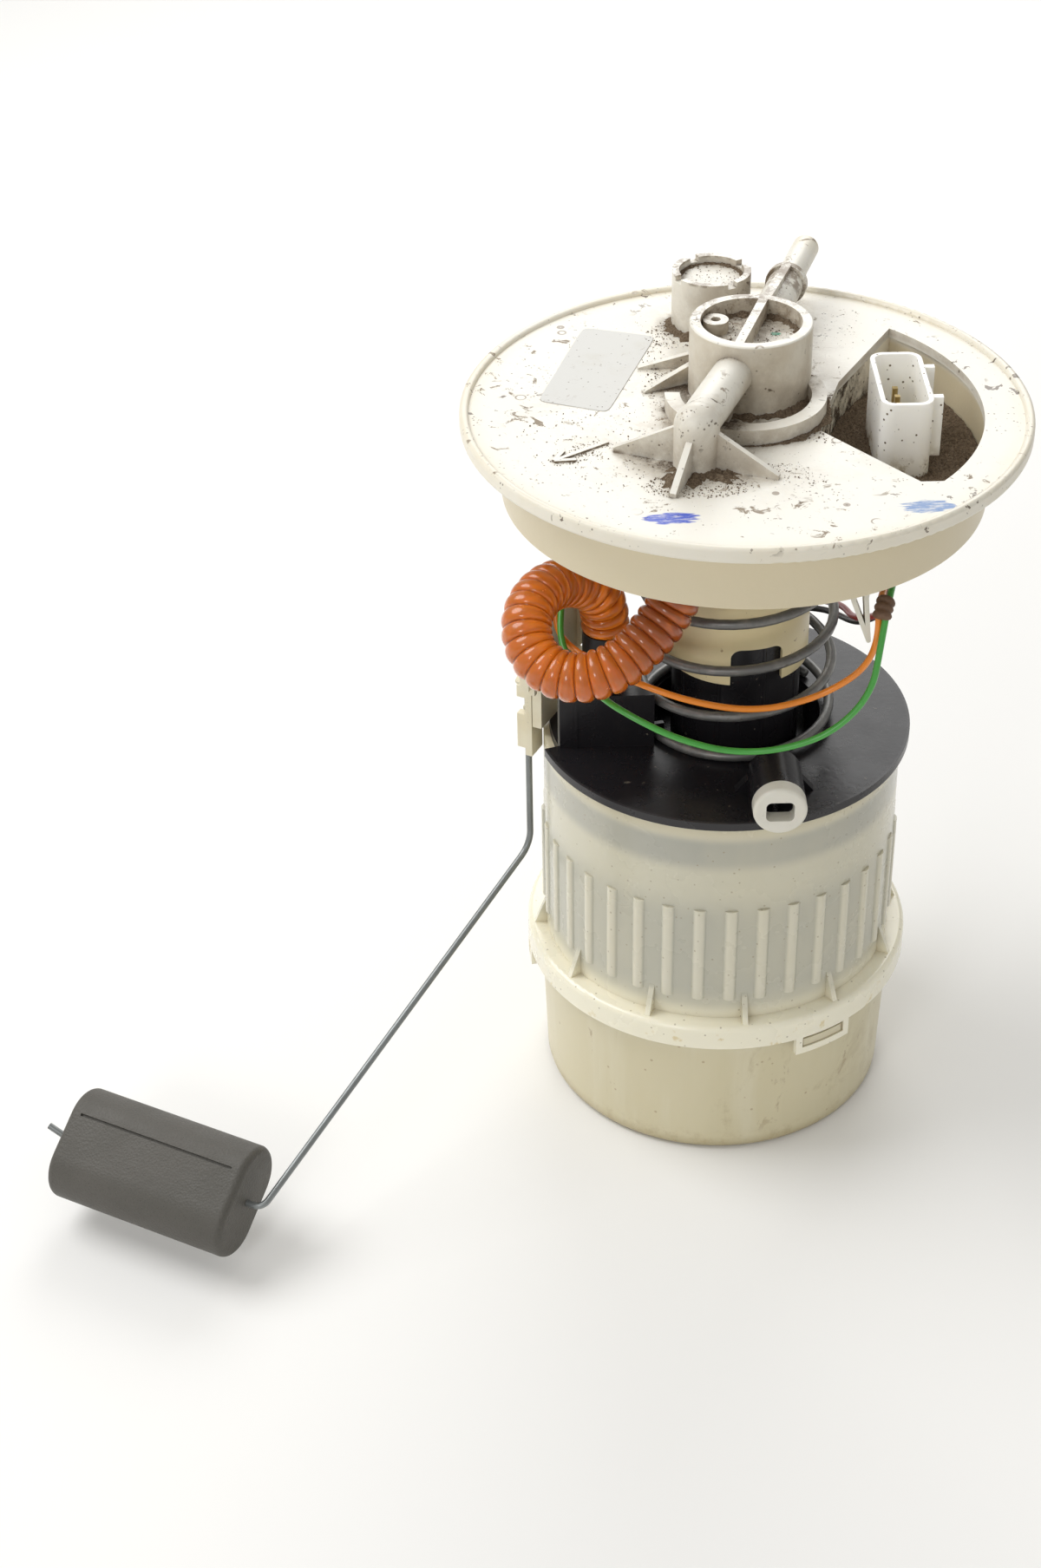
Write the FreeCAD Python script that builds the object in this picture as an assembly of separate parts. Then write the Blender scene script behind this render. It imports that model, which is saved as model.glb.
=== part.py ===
# In-tank fuel pump module: reservoir with pump and filter, level sender with float,
# and a sprung flange that slides on a guide tower. Millimetres, +Z up, origin at the
# centre of the reservoir's foot, +Y away from the side that carries the relief elbow.
import FreeCAD, Part
import math
import os

os.makedirs("parts", exist_ok=True)
Vector = FreeCAD.Vector
UP = Vector(0, 0, 1)

# Reservoir cup
cup_radius = 55.0
cup_foot_radius = 53.2
cup_wall = 2.0
cup_floor = 3.0
cup_height = 52.0
foot_round = 3.0
barb_height = 2.6
inlet_valve_x = 20.0
inlet_valve_y = 22.0
inlet_valve_radius = 8.0
inlet_port_radius = 2.2
inlet_port_circle = 4.8
valve_stem_radius = 1.5

# Filter housing, the ribbed upper half of the reservoir
housing_radius = 53.5
housing_wall = 1.8
housing_top = 125.5
rim_gap = 0.3
collar_radius = 59.1
collar_wall = 1.7
collar_web = 1.8
collar_drop = 5.9
rib_count = 36
rib_width = 3.9
rib_proud = 0.9
rib_bottom = 61.4
rib_top = 94.6
gusset_count = 12
gusset_width = 1.6
gusset_height = 11.0
latch_count = 3
latch_angle = -60.0
latch_width = 19.5
latch_drop = 6.2
latch_frame = 2.2
filter_floor_bottom = 58.0
filter_floor = 2.0
well_tube_top = 112.0

# Pump, hung on the guide axis
guide_x = 4.0
guide_y = 2.5
can_radius = 19.0
can_wall = 0.9
can_bottom = 22.0
can_height = 66.0
can_lip = 1.2
isolator_wall = 2.4
isolator_height = 26.0
isolator_grooves = 3
inlet_cover_height = 10.0
inlet_neck_radius = 6.0
inlet_neck_length = 7.6
inlet_bore_radius = 3.6
plate_height = 6.0
impeller_radius = 14.6
impeller_height = 3.0
impeller_gap = 0.25
vane_count = 36
vane_depth = 2.6
shaft_radius = 2.0
running_gap = 0.05
outlet_cover_height = 12.0
outlet_tube_radius = 4.6
outlet_bore_radius = 2.8
outlet_tube_top = 110.0
armature_radius = 11.6
armature_length = 24.0
armature_slots = 8
armature_bottom = 44.0
commutator_radius = 6.0
commutator_length = 5.5
commutator_bars = 8
magnet_gap = 0.6
magnet_arc = 124.0
brush_size = 4.0
poppet_radius = 2.2
poppet_seat = 96.0
poppet_length = 4.0
check_spring_radius = 1.7
check_spring_wire = 0.35
check_spring_turns = 4.0

# Filter element
filter_gap = 1.6
filter_room = 0.8
filter_pleats = 40
filter_cap = 1.6
filter_height = 46.0

# Suction strainer and jet pump in the bottom of the cup
strainer_radius = 22.0
strainer_height = 6.4
strainer_clear = 4.0
jet_radius = 3.2
jet_bore = 1.4
jet_length = 30.0
jet_x = -27.0
jet_y = -22.0

# Lid
lid_top = 128.0
lid_plate = 3.0
lid_lip_radius = 56.0
lid_fit = 0.1
lid_skirt_wall = 3.0
lid_skirt_drop = 9.0
lip_cut_from = 143.0
lip_cut_to = 197.5
seal_height = 2.2
seal_depth = 1.5
seal_drop = 5.0
tower_radius = 18.9
tower_wall = 2.0
tower_height = 56.0
tower_cap = 2.0
tower_ribs = 9
tower_rib_proud = 0.3
well_radius = 25.6
well_wall = 1.8
well_floor = 2.0
well_web_count = 6
well_web = 1.4
well_web_drop = 1.2
block_left = -50.3
block_front = -16.5
block_back = 16.0
block_height = 18.0
block_gap = 31.5
groove_x = -44.2
stub_x = -35.0
stub_y = -2.0
stub_radius = 6.8
stub_bore = 4.4
stub_height = 14.0
elbow_x = 12.2
elbow_rise = 5.0
elbow_radius = 7.7
elbow_bore = 4.2
elbow_back = -37.5
elbow_front = -53.0
plug_radius = 7.7
plug_thickness = 4.6
plug_slot_width = 8.0
plug_slot_height = 6.4
socket_x = 12.0
socket_y = 38.0
socket_width = 14.0
socket_depth = 8.0
socket_height = 8.0
socket_wall = 1.4

# Flange
flange_top = 229.0
flange_plate = 2.8
flange_radius = 79.7
lip_rise = 1.2
lip_drop = 3.4
skirt_top_radius = 69.5
skirt_bottom_radius = 68.4
skirt_height = 20.8
skirt_wall = 2.6
skirt_seat = 0.3
cup_offset_x = 2.0
cup_offset_y = 11.3
port_cup_radius = 17.2
port_cup_wall = 3.0
port_cup_height = 21.0
port_cup_depth = 5.0
cup_rib_width = 2.6
boss_radius = 3.6
boss_bore = 1.4
boss_x = -9.6
boss_y = 4.2
boss_below_rim = 1.5
rear_x = -6.0
rear_y = 53.5
rear_radius = 11.5
rear_wall = 2.0
rear_height = 17.0
rear_depth = 2.5
rear_notches = 4
rear_notch_width = 3.0
rear_notch_depth = 1.5
pipe_angle = 67.7
outlet_angle = 71.8
pipe_below_rim = 9.0
pipe_radius_front = 5.6
pipe_radius_back = 5.2
post_distance = 47.0
post_radius = 6.2
fin_side = 23.3
fin_front = 19.3
fin_width = 1.8
fin_height = 14.0
fin_tip_height = 1.2
wedge_height = 6.6
nipple_radius = 3.945
nipple_bead_radius = 6.1
nipple_bead_at = 43.6
nipple_bead_length = 2.4
nipple_tip = 70.6
nipple_bore = 2.5
collar_ridge_outer = 22.5
collar_ridge_width = 4.2
collar_ridge_height = 4.6
collar_ridge_from = 177.0
collar_ridge_sweep = 208.0
pocket_depth = 15.0
pocket_skin = 2.0
pocket_outer = 66.0
connector_x = 43.0
connector_y = 0.0
connector_width = 14.5
connector_depth = 32.0
connector_round = 4.0
connector_wall = 1.3
connector_rise = 8.0
connector_tail = 7.0
key_width = 2.0
key_proud = 3.2
pin_count = 5
pin_pitch = 5.0
pin_width = 1.5
pin_below_top = 8.0
spring_cup_inner = 26.0
spring_cup_outer = 30.2
spring_cup_depth = 15.2
spigot_length = 14.2
hose_room = 0.5
arrow_length = 18.0
arrow_line = 1.2
arrow_raise = 0.5
plug_height = 9.0
hook_y = -40.0
hook_left = 31.2
hook_right = 37.0
hook_lean = 2.4
hook_low_x = 35.9
hook_shoulder = 33.6
hook_low = 46.3
hook_width = 5.0
hook_thickness = 1.3

# Guide sleeve on the flange
sleeve_inner = 19.3
sleeve_outer = 21.0
sleeve_above_lid = 22.0
sleeve_thin = 0.9
sleeve_thin_length = 16.2
sleeve_cutouts = 3
sleeve_cutout_width = 15.5
sleeve_cutout_height = 12.0
sleeve_cutout_angle = -78.0
track_count = 3
track_width = 6.4
track_angle = 90.0
track_depth = 0.9
lug_height = 5.0
lug_gap = 0.2
flange_travel = 30.0

# Regulator in the port cup and roll-over valve below the rear cylinder
regulator_radius = 6.4
regulator_height = 13.0
regulator_gap = 0.15
clip_rim = 1.2
rollover_radius = 9.4
rollover_wall = 1.5
rollover_height = 26.2
rollover_float_radius = 7.0
rollover_float_height = 15.0

# Guide spring
spring_radius = 28.0
spring_wire = 3.0
spring_pitch = 15.65
spring_gap = 0.3
spring_start = -66.0
dead_turn = 0.72

# Level sender
wire_room = 4.5
wire_y = 0.0
sender_angle = 152.5
sender_back = -6.5
sender_face = -3.5
sender_rear = -22.9
sender_front = 12.0
sender_near = 4.0
sender_step = 146.0
sender_top = 172.0
card_depth = 0.6
card_near = -6.0
card_far = -20.0
card_low = 131.0
card_high = 153.0
sender_foot_height = 16.0
pivot_z = 147.0
pivot_boss_radius = 4.0
pivot_boss_length = 3.5
wiper_reach = 14.5
holder_gap = 0.3
holder_radius = 6.5
arm_range = 60.0
sender_face_to_block = 14.45
holder_bottom = 117.0
jaw_bottom = 119.0
jaw_top = 131.0
jaw_half_width = 3.3
jaw_front = 2.0
wiper_thickness = 0.25
wire_radius = 1.0
wire_end_gap = 0.4
bend_z = 80.6
float_a = 32.1
float_b = 123.7
float_z = 22.0
corner_a = 26.9
bend_radius = 8.0
entry_radius = 3.6
float_length = 61.0
float_long = 34.5
float_wide = 21.0
float_tilt = -34.0
float_seam = 0.8
wire_tail = 9.0
tail_rise = 2.4
terminal_count = 4
terminal_pitch = 5.0
terminal_height = 5.0

# Hose and wires: diameters, and routes as points chosen by hand
hose_diameter = 14.4
lead_diameter = 1.9
outlet_hose_route = [
    (-11.84, -29.68, 212), (-11.84, -29.68, 200), (-17.7, -33, 186), (-26.3, -40, 178), (-36.1, -45, 172.3),
    (-48.1, -44, 170.2), (-57.1, -38, 174), (-58.8, -29, 181.2), (-53.4, -18, 184), (-44.1, -7, 179.9),
    (-35, -2, 171.5), (-35, -2, 160)]
green_wire_route = [
    (47, -7.5, 198), (47, -7.5, 192.5), (46, -21, 190), (41, -41.5, 194), (38.9, -46, 181),
    (36.7, -50, 167.2), (26.3, -52, 155.8), (12.1, -52, 150.3), (-2.3, -50, 148.6), (-16.9, -50, 153.6),
    (-27.7, -48, 158.8), (-37, -41.5, 161.5), (-42, -31, 161.8), (-45.8, -20, 160.5),
    (-48.4, -13.1, 163.8), (-48, -5.8, 169), (-46.6, 2, 175.2), (-42.8, 8.4, 176), (-45.9, 10, 176)]
orange_wire_route = [
    (47, -2.5, 198), (47, -2.5, 190), (43.2, -19, 189.5), (41, -31, 189.8), (38.2, -41.5, 190.6),
    (38, -43.9, 182.5), (37.4, -38, 172), (35.5, -31, 165), (23.2, -35, 156.1), (5.7, -39, 154.8),
    (-11.5, -40, 158.8), (-27.2, -36, 163), (-35.5, -26, 162), (-42.5, -16, 160), (-49, -9.6, 163),
    (-49.6, -2.1, 168), (-45.6, 4.3, 173), (-48.2, 5.6, 173)]
red_wire_route = [
    (47, 2.5, 198), (47, 2.5, 190), (46.4, -8, 187), (45.2, -19, 186.5), (43.5, -26, 187.2),
    (42, -33.5, 186.5), (41.3, -29.5, 180.5), (39.3, -16, 170.8), (36.9, -4, 163.3), (35.6, 8, 160),
    (32.6, 20.3, 154), (23, 32, 149), (14.5, 38, 148.5), (14.5, 38, 140)]
black_wire_route = [
    (47, 7.5, 198), (47, 7.5, 190), (46.6, -6, 184.5), (45.6, -17, 183.2), (43.2, -28, 183.6),
    (42.9, -25.5, 178.4), (42.2, -20, 174.2), (40.1, -10, 166), (37.8, -1, 159.8),
    (34.2, 13, 154.2), (31, 21, 151), (20, 31.5, 145.8), (9.5, 38, 147.5), (9.5, 38, 140)]

lid_under = lid_top - lid_plate
tower_top = lid_top + tower_height
block_top = lid_top + block_height
stub_top = block_top + stub_height
elbow_z = lid_top + elbow_rise
sleeve_bottom = lid_top + sleeve_above_lid
flange_under = flange_top - flange_plate
skirt_bottom = flange_under - skirt_height
port_cup_top = flange_top + port_cup_height
port_cup_floor = port_cup_top - port_cup_depth
rear_top = flange_top + rear_height
rear_floor = rear_top - rear_depth
pipe_z = port_cup_top - pipe_below_rim
pocket_floor = flange_top - pocket_depth
connector_top = flange_top + connector_rise
pin_top = connector_top - pin_below_top
spring_seat_top = flange_under - spring_cup_depth
spigot_bottom = flange_under - spigot_length
sleeve_thin_from = flange_under - sleeve_thin_length
rollover_bottom = flange_under - rollover_height
floor_top = cup_floor
housing_inner = housing_radius - housing_wall
collar_top = cup_height + rim_gap + collar_web
collar_bottom = collar_top - collar_web - collar_drop
tube_inner = can_radius + isolator_wall
tube_outer = tube_inner + housing_wall
lid_radius = housing_inner - lid_fit
filter_outer = housing_inner - math.hypot(guide_x, guide_y) - filter_room
wire_x = -housing_radius - wire_room
well_bottom = sleeve_bottom - flange_travel - 1.5
can_top = can_bottom + can_height
pipe_dir = Vector(math.cos(math.radians(pipe_angle)), math.sin(math.radians(pipe_angle)), 0)
outlet_dir = Vector(math.cos(math.radians(outlet_angle)), math.sin(math.radians(outlet_angle)), 0)
guide = Vector(guide_x, guide_y, 0)


def cylinder(radius, low, high, centre=Vector(0, 0, 0)):
    return Part.makeCylinder(radius, high - low, Vector(centre.x, centre.y, low))


def ring(outer, inner, low, high, centre=Vector(0, 0, 0)):
    return cylinder(outer, low, high, centre).cut(cylinder(inner, low - 1, high + 1, centre))


def block(x0, x1, y0, y1, z0, z1):
    return Part.makeBox(x1 - x0, y1 - y0, z1 - z0, Vector(x0, y0, z0))


def prism(points, low, high):
    corners = [Vector(x, y, low) for x, y in points]
    face = Part.Face(Part.makePolygon(corners + corners[:1]))
    return face.extrude(Vector(0, 0, high - low))


def lathe(profile, centre=Vector(0, 0, 0), start=0.0, sweep=360.0):
    corners = [Vector(radius, 0, height) for radius, height in profile]
    face = Part.Face(Part.makePolygon(corners + corners[:1]))
    face.rotate(Vector(0, 0, 0), UP, start)
    face.translate(Vector(centre.x, centre.y, 0))
    return face.revolve(Vector(centre.x, centre.y, 0), UP, sweep)


def turned(shape, angle, centre=Vector(0, 0, 0)):
    copy = shape.copy()
    copy.rotate(Vector(centre.x, centre.y, 0), UP, angle)
    return copy


def pattern(shape, count, centre=Vector(0, 0, 0), first=0.0):
    return [turned(shape, first + 360.0 * i / count, centre) for i in range(count)]


def fused(shapes):
    whole = shapes[0].fuse(shapes[1:]) if len(shapes) > 1 else shapes[0]
    return whole.removeSplitter()


def rod(start, end, radius):
    way = end - start
    return Part.makeCylinder(radius, way.Length, start, way)


def rounded_box(width, depth, low, high, corner, centre):
    x0, x1 = centre.x - width / 2, centre.x + width / 2
    y0, y1 = centre.y - depth / 2, centre.y + depth / 2
    body = block(x0, x1, y0, y1, low, high)
    upright = [e for e in body.Edges if abs(e.BoundBox.ZLength - (high - low)) < 1e-6]
    return body.makeFillet(corner, upright)


def place_sender(shape):
    # Sender pieces are drawn with x out of the resistor card and y towards the arm.
    copy = shape.copy()
    copy.rotate(Vector(0, 0, 0), UP, sender_angle)
    copy.translate(Vector(wire_x, wire_y, 0))
    return copy


def bent_tube(points, radii, section):
    """Tube of straight runs joined by tangent arcs with the given radii."""
    edges = []
    start = points[0]
    for i in range(1, len(points) - 1):
        back = (points[i - 1] - points[i]).normalize()
        ahead = (points[i + 1] - points[i]).normalize()
        turn = math.pi - back.getAngle(ahead)
        reach = radii[i - 1] * math.tan(turn / 2)
        middle_way = (back + ahead).normalize()
        entry = points[i] + back * reach
        leave = points[i] + ahead * reach
        middle = points[i] + middle_way * (radii[i - 1] / math.cos(turn / 2) - radii[i - 1])
        if (entry - start).Length > 1e-4:
            edges.append(Part.LineSegment(start, entry).toShape())
        edges.append(Part.Arc(entry, middle, leave).toShape())
        start = leave
    edges.append(Part.LineSegment(start, points[-1]).toShape())
    path = Part.Wire(edges)
    first = (points[1] - points[0]).normalize()
    circle = Part.Wire(Part.makeCircle(section, points[0], first))
    return path, path.makePipeShell([circle], True, True)


def cord(name, route, diameter):
    """Cord along a hand-chosen route, each arc as large as its two runs allow."""
    points = [Vector(*p) for p in route]
    radii = []
    for i in range(1, len(points) - 1):
        back = points[i - 1] - points[i]
        ahead = points[i + 1] - points[i]
        turn = math.pi - back.getAngle(ahead)
        radii.append(0.45 * min(back.Length, ahead.Length) / math.tan(turn / 2))
    path, tube = bent_tube(points, radii, diameter / 2)
    expected = math.pi * diameter ** 2 / 4 * path.Length
    print(name, "length %.1f" % path.Length, "smallest radius %.1f" % min(radii),
          "volume ratio %.4f" % (tube.Volume / expected))
    return tube


def save(name, shape):
    solids = shape.Solids
    if not shape.isValid():
        print("not valid:", name)
    body = solids[0] if len(solids) == 1 else Part.makeCompound(solids)
    body.exportStep("parts/%s.step" % name)
    print(name, len(solids), "volume %.0f" % body.Volume)


def sector(radius, low, high, start, sweep, centre=Vector(0, 0, 0)):
    body = Part.makeCylinder(radius, high - low, Vector(centre.x, centre.y, low), UP, sweep)
    return turned(body, start, centre)


def edges_at_radius(shape, radius, heights, centre):
    found = []
    for edge in shape.Edges:
        curve = edge.Curve
        if isinstance(curve, Part.Circle) and abs(curve.Radius - radius) < 0.01:
            off = Vector(curve.Center.x - centre.x, curve.Center.y - centre.y, 0).Length
            if off < 0.01 and any(abs(curve.Center.z - z) < 0.01 for z in heights):
                found.append(edge)
    return found


# Reservoir cup with its inlet valve seat and the barbs that hold the housing
def reservoir_cup():
    body = Part.makeCone(cup_foot_radius, cup_radius, cup_height)
    body = body.makeFillet(foot_round, edges_at_radius(body, cup_foot_radius, [0], Vector(0, 0, 0)))
    draft = (cup_radius - cup_foot_radius) / cup_height
    inside = Part.makeCone(cup_foot_radius - cup_wall + draft * cup_floor, cup_radius - cup_wall + draft,
                           cup_height + 1 - cup_floor, Vector(0, 0, cup_floor))
    body = body.cut(inside)
    valve = Vector(inlet_valve_x, inlet_valve_y, 0)
    port = cylinder(inlet_port_radius, -1, cup_floor + 1, valve + Vector(inlet_port_circle, 0, 0))
    stem = cylinder(valve_stem_radius, -1, cup_floor + 1, valve)
    recess = cylinder(inlet_valve_radius + 2, -1, cup_floor / 3, valve)
    channel = block(0, cup_radius + 5, -inlet_port_radius * 2, inlet_port_radius * 2, -1, cup_floor / 3)
    channel.rotate(Vector(0, 0, 0), UP, math.degrees(math.atan2(valve.y, valve.x)))
    channel.translate(valve)
    body = body.cut(fused(pattern(port, 4, valve) + [stem])).cut(recess.fuse(channel))
    window_low = collar_bottom - latch_drop + latch_frame
    reach = collar_radius - 0.5
    half = math.degrees((latch_width / 2 - latch_frame - 0.5) / collar_radius)
    barb = sector(reach, window_low + 0.2, window_low + 0.2 + barb_height, latch_angle - half, 2 * half)
    barb = barb.cut(cylinder(cup_radius - cup_wall / 2, 0, cup_height))
    return fused([body] + pattern(barb, latch_count))


def inlet_valve():
    centre = Vector(inlet_valve_x, inlet_valve_y, 0)
    cap = lathe([(0, cup_floor), (inlet_valve_radius, cup_floor), (inlet_valve_radius, cup_floor + 0.5),
                 (valve_stem_radius + 1, cup_floor + 1.5), (valve_stem_radius, cup_floor + 2.4),
                 (0, cup_floor + 2.4)], centre)
    return cap.fuse(cylinder(valve_stem_radius, cup_floor / 3, cup_floor + 1, centre))


# Ribbed housing that holds the filter and clips over the cup with its collar
def filter_housing():
    web_bottom = collar_top - collar_web
    wall = ring(housing_radius, housing_inner, web_bottom, housing_top)
    collar = cylinder(collar_radius, collar_bottom, collar_top)
    collar = collar.makeFillet(collar_web * 0.9, edges_at_radius(collar, collar_radius, [collar_top],
                                                                 Vector(0, 0, 0)))
    collar = collar.cut(cylinder(collar_radius - collar_wall, collar_bottom - 1, web_bottom))
    crown = (rib_width ** 2 / 4 + rib_proud ** 2) / (2 * rib_proud)
    rib = cylinder(crown, rib_bottom, rib_top, Vector(housing_radius + rib_proud - crown, 0, 0))
    gusset_foot = collar_radius - collar_web
    gusset = Part.Face(Part.makePolygon([
        Vector(housing_radius - 0.6, 0, collar_top - 0.5), Vector(gusset_foot, 0, collar_top - 0.5),
        Vector(gusset_foot, 0, collar_top), Vector(housing_radius - 0.6, 0, collar_top + gusset_height),
        Vector(housing_radius - 0.6, 0, collar_top - 0.5)])).extrude(Vector(0, gusset_width, 0))
    gusset.translate(Vector(0, -gusset_width / 2, 0))
    half = math.degrees(latch_width / 2 / collar_radius)
    hole = math.degrees((latch_width / 2 - latch_frame) / collar_radius)
    latch = sector(collar_radius, collar_bottom - latch_drop, collar_bottom + 1, latch_angle - half, 2 * half)
    latch = latch.cut(sector(collar_radius + 1, collar_bottom - latch_drop + latch_frame, collar_bottom,
                             latch_angle - hole, 2 * hole))
    latch = latch.cut(cylinder(collar_radius - collar_wall, 0, housing_top))
    shell = fused([wall, collar] + pattern(rib, rib_count)
                  + pattern(gusset, gusset_count, first=5.0) + pattern(latch, latch_count))
    return shell.cut(cylinder(housing_inner, collar_bottom - 1, housing_top + 1))


def filter_well():
    floor = cylinder(housing_inner, filter_floor_bottom, filter_floor_bottom + filter_floor)
    tube = cylinder(tube_outer, filter_floor_bottom, well_tube_top, guide)
    return fused([floor, tube]).cut(cylinder(tube_inner, 0, housing_top, guide))


def filter_element():
    low = filter_floor_bottom + filter_floor
    high = low + filter_height
    bore = tube_outer + filter_gap
    tips = filter_outer - 0.8
    points = []
    for i in range(2 * filter_pleats):
        radius = tips if i % 2 == 0 else tips - 9 * filter_gap
        angle = math.pi * i / filter_pleats
        points.append((guide_x + radius * math.cos(angle), guide_y + radius * math.sin(angle)))
    pleats = prism(points, low + filter_cap, high - filter_cap)
    caps = [cylinder(filter_outer, low, low + filter_cap, guide),
            cylinder(filter_outer, high - filter_cap, high, guide)]
    return fused([pleats] + caps).cut(cylinder(bore, low - 1, high + 1, guide))


# Lid with the guide tower, the well that the sleeve drops into and the hose block
def lid_block():
    run = (block_back - block_front) / -math.cos(math.radians(sender_angle))
    right = guide_x - block_gap + 8
    slope = Vector(math.sin(math.radians(sender_angle)), -math.cos(math.radians(sender_angle)), 0)
    back_left = block_left + slope.x * run
    outline = [(block_left, block_front), (right, block_front), (right, block_back), (back_left, block_back)]
    solid = prism(outline, lid_under, block_top)
    groove = block(groove_x - 0.5, groove_x + 0.5, block_front - 0.5, block_front + 0.5, lid_under, block_top)
    solid = solid.fuse(groove).cut(cylinder(block_gap, 0, block_top + 1, guide))
    return solid.common(cylinder(lid_radius, 0, block_top + 1))


def lid_block_cavity():
    skin = housing_wall
    inner = lid_block()
    box = inner.BoundBox
    hollow = block(stub_x - stub_radius, stub_x + stub_radius, block_front + skin, stub_y + stub_radius,
                   box.ZMin - 1, block_top - skin)
    return hollow.common(cylinder(lid_radius - skin, 0, block_top).cut(
        cylinder(block_gap + skin, 0, block_top, guide)))


def relief_elbow():
    barrel = rod(Vector(elbow_x, elbow_back, elbow_z), Vector(elbow_x, elbow_front, elbow_z), elbow_radius)
    riser = cylinder(elbow_radius, lid_under, elbow_z, Vector(elbow_x, elbow_back, 0))
    dome = Part.makeSphere(elbow_radius, Vector(elbow_x, elbow_back, elbow_z))
    saddle = block(elbow_x - elbow_radius, elbow_x + elbow_radius, elbow_front, elbow_back, lid_under, elbow_z)
    skirts = Part.Face(Part.makePolygon([
        Vector(elbow_x - elbow_radius - 4, elbow_back, lid_top - 0.5),
        Vector(elbow_x + elbow_radius + 4, elbow_back, lid_top - 0.5),
        Vector(elbow_x + elbow_radius - 0.5, elbow_back, elbow_z),
        Vector(elbow_x - elbow_radius + 0.5, elbow_back, elbow_z),
        Vector(elbow_x - elbow_radius - 4, elbow_back, lid_top - 0.5)])).extrude(Vector(0, -3, 0))
    body = fused([barrel, riser, dome, saddle, skirts])
    cuts = [block(elbow_x - 20, elbow_x + 20, elbow_front - 5, elbow_back + 20, 0, lid_top),
            rod(Vector(elbow_x, elbow_back, elbow_z), Vector(elbow_x, elbow_front - 1, elbow_z), elbow_bore),
            cylinder(elbow_bore, lid_under - 1, elbow_z, Vector(elbow_x, elbow_back, 0))]
    return body.cut(cuts)


def reservoir_lid():
    lip = ring(lid_lip_radius, lid_radius - 1, housing_top, lid_top)
    lip = lip.cut(sector(lid_lip_radius + 1, housing_top - 1, lid_top + 1, lip_cut_from, lip_cut_to - lip_cut_from))
    skirt = ring(lid_radius, lid_radius - lid_skirt_wall, lid_top - lid_skirt_drop, lid_under)
    seal_low = lid_under - seal_drop
    skirt = skirt.cut(ring(lid_radius + 1, lid_radius - seal_depth, seal_low, seal_low + seal_height))
    plate = cylinder(lid_radius, lid_under, lid_top)
    socket = block(socket_x - socket_width / 2, socket_x + socket_width / 2, socket_y - socket_depth / 2,
                   socket_y + socket_depth / 2, lid_top - 1, lid_top + socket_height)
    cuts = [cylinder(well_radius + well_wall, lid_under - 1, lid_top + 1, guide), lid_block_cavity(),
            cylinder(elbow_bore, lid_under - 1, lid_top + 1, Vector(elbow_x, elbow_back, 0)),
            rod(Vector(elbow_x, elbow_front, elbow_z), Vector(elbow_x, elbow_front - 10, elbow_z),
                plug_radius + 0.15),
            block(socket_x - socket_width / 2 + socket_wall, socket_x + socket_width / 2 - socket_wall,
                  socket_y - socket_depth / 2 + socket_wall, socket_y + socket_depth / 2 - socket_wall,
                  lid_top + 1.4, lid_top + socket_height + 1)]
    return fused([plate, lip, skirt, socket]).cut(cuts)


def lid_well():
    low = well_bottom - well_floor
    wall = ring(well_radius + well_wall, well_radius, low, lid_top, guide)
    floor = ring(well_radius + 0.5, tower_radius - tower_wall, low, well_bottom, guide)
    web = block(guide_x + sleeve_outer + 1, guide_x + well_radius + 0.5, guide_y - well_web / 2,
                guide_y + well_web / 2, well_bottom - 0.5, lid_top - well_web_drop)
    return fused([wall, floor] + pattern(web, well_web_count, guide, first=-48.0))


def guide_tower():
    tower = cylinder(tower_radius, well_bottom, tower_top, guide)
    tower = tower.makeChamfer(1.5, edges_at_radius(tower, tower_radius, [tower_top], guide))
    rib = cylinder(tower_rib_proud + 0.6, well_bottom, tower_top - 6, guide + Vector(tower_radius - 0.6, 0, 0))
    lug_top = tower_top - 1
    lug = block(guide_x + tower_radius - 1, guide_x + sleeve_inner + 2, guide_y - track_width / 2 + lug_gap,
                guide_y + track_width / 2 - lug_gap, lug_top - lug_height, lug_top)
    lug = lug.common(cylinder(sleeve_inner + track_depth - lug_gap, 0, tower_top, guide))
    body = fused([tower] + pattern(rib, tower_ribs, guide, first=10.0)
                 + pattern(lug, track_count, guide, first=track_angle))
    return body.cut(cylinder(tower_radius - tower_wall, well_bottom - 1, tower_top - tower_cap, guide))


def hose_block():
    centre = Vector(stub_x, stub_y, 0)
    stub = cylinder(stub_radius, block_top - 1, stub_top, centre)
    collar = Part.makeCone(stub_radius + 1.8, stub_radius, 3.5, centre + Vector(0, 0, block_top - 0.5))
    cuts = [lid_block_cavity(), cylinder(stub_bore, block_top - 3, stub_top + 1, centre),
            cylinder(lid_lip_radius + 5, 0, lid_top)]
    return fused([lid_block(), stub, collar]).cut(cuts)


def lid_seal():
    low = lid_under - seal_drop
    return ring(housing_inner, lid_radius - seal_depth, low, low + seal_height)


def elbow_plug():
    body = rod(Vector(elbow_x, elbow_front, elbow_z),
               Vector(elbow_x, elbow_front - plug_thickness, elbow_z), plug_radius)
    front = [e for e in body.Edges if abs(e.BoundBox.YMin - (elbow_front - plug_thickness)) < 0.01
             and e.BoundBox.YLength < 0.01]
    body = body.makeFillet(1.1, front)
    slot = block(elbow_x - plug_slot_width / 2, elbow_x + plug_slot_width / 2, elbow_front - plug_thickness - 1,
                 elbow_front + 1, elbow_z - plug_slot_height / 2, elbow_z + plug_slot_height / 2)
    along = [e for e in slot.Edges if e.BoundBox.YLength > 1]
    return body.cut(slot.makeFillet(1.6, along))


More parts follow.
